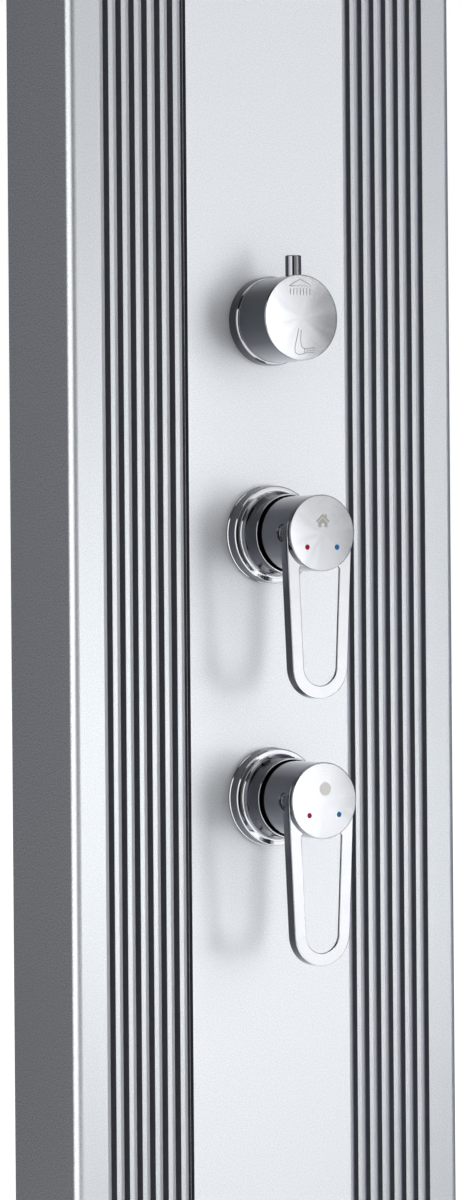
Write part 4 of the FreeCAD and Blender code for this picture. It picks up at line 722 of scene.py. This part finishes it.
rose = [[(-8.6, 19.2), (-5.0, 21.4), (-0.6, 23.6), (3.6, 21.6), (7.2, 19.6), (-8.6, 19.2)]]
rose += [[(-7.6 + 2.3 * jet, 18.0), (-7.9 + 2.4 * jet, 14.0 - 0.25 * (jet % 2))] for jet in range(7)]
engraved("rain_mark", "diverter", "diverter_knob", rose)
heel = [(-2.0, -6.8), (-3.4, -12.4), (-4.8, -18.2), (-4.9, -20.4), (-4.2, -22.0), (-2.4, -22.8)]
sole = [(0.4, -22.6), (2.1, -21.8)]
instep = [(-0.2, -7.6), (-0.6, -12.0), (-0.5, -15.8), (0.4, -18.2), (2.1, -19.2)]
toes = [(2.1, -19.2), (4.0, -18.9), (4.0, -21.5), (2.1, -21.8), (2.1, -19.2)]
jets = [[(5.0, -19.0 - 1.2 * jet), (9.4, -18.2 - 1.5 * jet)] for jet in range(3)]
engraved("foot_mark", "diverter", "diverter_knob", [heel + sole, instep, toes] + jets)


def house_mark():
    """A small house: a roof with a chimney over a gable wall with a door."""
    mesh = bmesh.new()
    chimney = [(1.6, -1.5), (0, 1.3), (1.2, 0), (0, -2.4)]
    roof = [(4.9, 4.5)] + chimney + [(2.1, -1.9), (-0.9, -0.9), (-4.0, 3.7), (-4.0, -3.7)]
    wall = [(0, 2.8), (3.3, 3.0), (3.3, -3.0), (0, -2.8), (-2.2, 0), (0, 2.4), (-2.2, 0), (0, -2.4)]
    raised(mesh, [drawn(mesh, (-4.9, 0.0), roof)], INK_HEIGHT)
    raised(mesh, [drawn(mesh, (-3.3, -3.7), wall)], INK_HEIGHT)
    return mesh


def sun_mark():
    """A small sun: a disc with a softly notched edge."""
    mesh = bmesh.new()
    disc = bmesh.ops.create_circle(mesh, cap_ends=True, radius=SUN_RADIUS * MM, segments=36)["verts"]
    bmesh.ops.scale(mesh, verts=disc[::3], vec=(SUN_NOTCH, SUN_NOTCH, 1))
    raised(mesh, mesh.faces[:], INK_HEIGHT)
    return mesh


piece(house_mark(), "house_mark", "house_handle", "satin_chrome", house_ink,
      place=on_face("house_lever_cap", *HOUSE_SPOT))
piece(sun_mark(), "sun_mark", "solar_handle", "satin_chrome", sun_ink,
      place=on_face("solar_lever_cap", *SUN_SPOT))
DROP = [(0, 0.3, 0), (0.9, 0.26, 0), (1.5, 0.14, 0), (1.75, -0.05, 0)]
for name in ("house", "solar"):
    for water, material, spot in (("hot", red_enamel, HOT_SPOT), ("cold", blue_enamel, COLD_SPOT)):
        piece(turned(DROP, 24), f"{name}_{water}_dot", f"{name}_handle", "satin_chrome", material,
              place=on_face(f"{name}_lever_cap", *spot))


# The studio

def plan(bearing, distance):
    """A place round the column: degrees from the right hand side, turning left, and metres."""
    return distance * math.cos(math.radians(bearing)), distance * math.sin(math.radians(bearing))


def card(name, near, far, low, high, radiance, rim=0.0, tint="#FFFFFF"):
    """An upright card that only the metal mirrors. A rim in metres fades it up and down into the set."""
    mesh = bmesh.new()
    bmesh.ops.create_grid(mesh, x_segments=1, y_segments=1, size=1.0)
    corners = [(*near, low), (*far, low), (*near, high), (*far, high)]
    for vert, corner in zip(mesh.verts, corners):
        vert.co = corner
    material = bpy.data.materials.new(name)
    material.use_nodes = True
    tree = material.node_tree
    glow = add(tree, "ShaderNodeEmission", {"Color": linear(tint), "Strength": radiance})
    if rim:
        place = add(tree, "ShaderNodeTexCoord").outputs["Object"]
        height = add(tree, "ShaderNodeSeparateXYZ", {"Vector": place}).outputs["Z"]
        offset = add(tree, "ShaderNodeMath", {
            0: height, 1: (low + high) / 2}, operation="SUBTRACT").outputs["Value"]
        away = add(tree, "ShaderNodeMath", {0: offset}, operation="ABSOLUTE").outputs["Value"]
        reach = (high - low) / 2
        fade = add(tree, "ShaderNodeMapRange", {
            "Value": away, "From Min": reach - rim, "From Max": reach, "To Min": radiance, "To Max": 1.0},
            interpolation_type="SMOOTHSTEP")
        feed(tree, glow, {"Strength": fade.outputs["Result"]})
    feed(tree, tree.nodes["Material Output"], {"Surface": glow.outputs["Emission"]})
    data = mesh_data(mesh, name)
    data.materials.append(material)
    item = in_scene(name, data)
    item.visible_camera = False
    item.visible_diffuse = False
    item.visible_shadow = False


def lamp(name, place, target, size, energy):
    """A soft square lamp that looks at a target."""
    data = bpy.data.lights.new(name, "AREA")
    data.shape = "RECTANGLE"
    data.size = size
    data.size_y = size
    data.energy = energy
    item = in_scene(name, data)
    item.location = place
    item.rotation_euler = (Vector(target) - Vector(place)).to_track_quat("-Z", "Y").to_euler()
    item.visible_camera = False
    item.visible_glossy = False


WHITE = (1.0, 1.0, 1.0, 1.0)
# the floor's glow where it is seen, and the strength of the world as a light and as a backdrop
FLOOR_GLOW, WORLD_LIGHT, WORLD_SEEN = 0.38, 0.85, 1.0


def studio_floor():
    """Pale floor paper, near white where it is seen or mirrored. It keeps the column's shadow."""
    mesh = bmesh.new()
    bmesh.ops.create_grid(mesh, x_segments=2, y_segments=2, size=40.0)
    material, tree, shader, place = surface("pale_floor_paper", roughness=0.9)
    # the paper's tone drifts a little, over clouds about 300 mm wide
    cloud = add(tree, "ShaderNodeTexNoise", {
        "Vector": place, "Scale": 1 / (300 * MM), "Detail": 5.0}).outputs["Fac"]
    tone = add(tree, "ShaderNodeMix", {
        SHARE: cloud, FIRST: linear("#EDEDEE"), SECOND: linear("#F3F3F3")}, data_type="RGBA")
    rays = add(tree, "ShaderNodeLightPath").outputs
    seen = add(tree, "ShaderNodeMath", {
        0: rays["Is Camera Ray"], 1: rays["Is Glossy Ray"]}, operation="MAXIMUM").outputs["Value"]
    glow = add(tree, "ShaderNodeMath", {0: seen, 1: FLOOR_GLOW}, operation="MULTIPLY").outputs["Value"]
    feed(tree, shader, {
        "Base Color": tone.outputs[BLEND], "Emission Color": WHITE, "Emission Strength": glow})
    data = mesh_data(mesh, "studio_floor")
    data.materials.append(material)
    floor = in_scene("studio_floor", data)


def white_studio():
    """A world that is white where it is seen or mirrored, and lights the column at a plain level."""
    world = bpy.data.worlds.new("white_studio")
    bpy.context.scene.world = world
    world.use_nodes = True
    tree = world.node_tree
    rays = add(tree, "ShaderNodeLightPath").outputs
    seen = add(tree, "ShaderNodeMath", {
        0: rays["Is Camera Ray"], 1: rays["Is Glossy Ray"]}, operation="MAXIMUM").outputs["Value"]
    shown = add(tree, "ShaderNodeMath", {
        0: seen, 1: rays["Is Transmission Ray"]}, operation="MAXIMUM").outputs["Value"]
    level = add(tree, "ShaderNodeMapRange", {
        "Value": shown, "To Min": WORLD_LIGHT, "To Max": WORLD_SEEN}).outputs["Result"]
    feed(tree, tree.nodes["Background"], {"Color": WHITE, "Strength": level})


# in metres, the bottom and the top of a full card and of the soft box, and the bottom of its wings
LOW, HIGH, BOX_LOW, BOX_HIGH, WING_LOW = -0.5, 4.5, 0.46, 1.44, 0.7
# how far off the cards stand, and the cool tints of those on the left and on the right
BOX, BEFORE_BOX, BESIDE, CAMERA = 1.9, 1.85, 2.2, 2.6
COOL_LEFT, COOL_RIGHT = "#D6E2FF", "#D8E4FF"

# the left side of the column mirrors these
card("dark_card_left", plan(88, BESIDE), plan(160, BESIDE), LOW, HIGH, 0.08, tint=COOL_LEFT)
card("dark_card_left_low", plan(88, 2.15), plan(160, 2.15), LOW, 0.7, 0.03, tint=COOL_LEFT)
# the rounded corners and the chrome mirror these, beside and behind the camera
card("dark_card_camera_left", plan(160, CAMERA), plan(208, CAMERA), LOW, HIGH, 0.03)
card("dark_card_camera", plan(208, CAMERA), plan(252, CAMERA), LOW, HIGH, 0.03)
card("grey_card_camera", plan(252, 2.4), plan(288.5, 2.4), LOW, HIGH, 0.36)
card("white_card_left", plan(157, BOX), plan(224, BOX), 0.3, 2.0, 1.6)
# the front of the column and the faces of the handles mirror a soft box, with a dimmer core and two wings
card("softbox_card", plan(288.5, BOX), plan(304, BOX), BOX_LOW, BOX_HIGH, 4.1, rim=0.42)
card("softbox_core", plan(297.5, BEFORE_BOX), plan(305.5, BEFORE_BOX), BOX_LOW, 1.34, 1.5, rim=0.4)
card("softbox_wing", plan(304, BOX), plan(308.5, BOX), WING_LOW, BOX_HIGH, 0.45)
card("softbox_outer_wing", plan(308.5, BOX), plan(313, BOX), WING_LOW, BOX_HIGH, 6.0)
# cards before, below and above it keep the knob and the ends of the column darker
card("grey_card_knob", plan(305.5, BEFORE_BOX), plan(314, BEFORE_BOX), 0.86, 1.32, 0.3)
card("grey_card_wing", plan(304, BOX), plan(313, BOX), BOX_LOW, WING_LOW, 0.2)
card("pale_card_high", plan(287, BOX), plan(314, BOX), BOX_HIGH, HIGH, 0.76)
card("grey_card_low", plan(287, BOX), plan(314, BOX), LOW, BOX_LOW, 0.05)
# the right side of the column and of the chrome mirrors these
card("dark_card_right", plan(313, BOX), plan(6, BESIDE), LOW, HIGH, 0.16, tint=COOL_RIGHT)
card("dark_card_rear_right", plan(6, BESIDE), plan(72, BESIDE), LOW, HIGH, 0.05, tint=COOL_RIGHT)
lamp("key_lamp", (1.9, -3.0, 2.4), (0.0, 0.0, 0.9), size=1.4, energy=50)
lamp("top_lamp", (0.3, -1.2, 4.6), (0.0, 0.0, 1.0), size=2.6, energy=60)
studio_floor()
white_studio()

# the camera stands left of the column at about half its height, with a long lens and a hair of roll
ROLL, TURN = math.radians(0.453), math.radians(-31.25)
camera_data = bpy.data.cameras.new("camera")
camera_data.lens = 114.8
camera_data.sensor_width = 36.0
camera = in_scene("camera", camera_data)
camera.location = (-1.2588, -2.0686, 1.1229)
camera.rotation_euler = (QUARTER, ROLL, TURN)
bpy.context.scene.camera = camera
bpy.context.scene.view_settings.view_transform = "Standard"
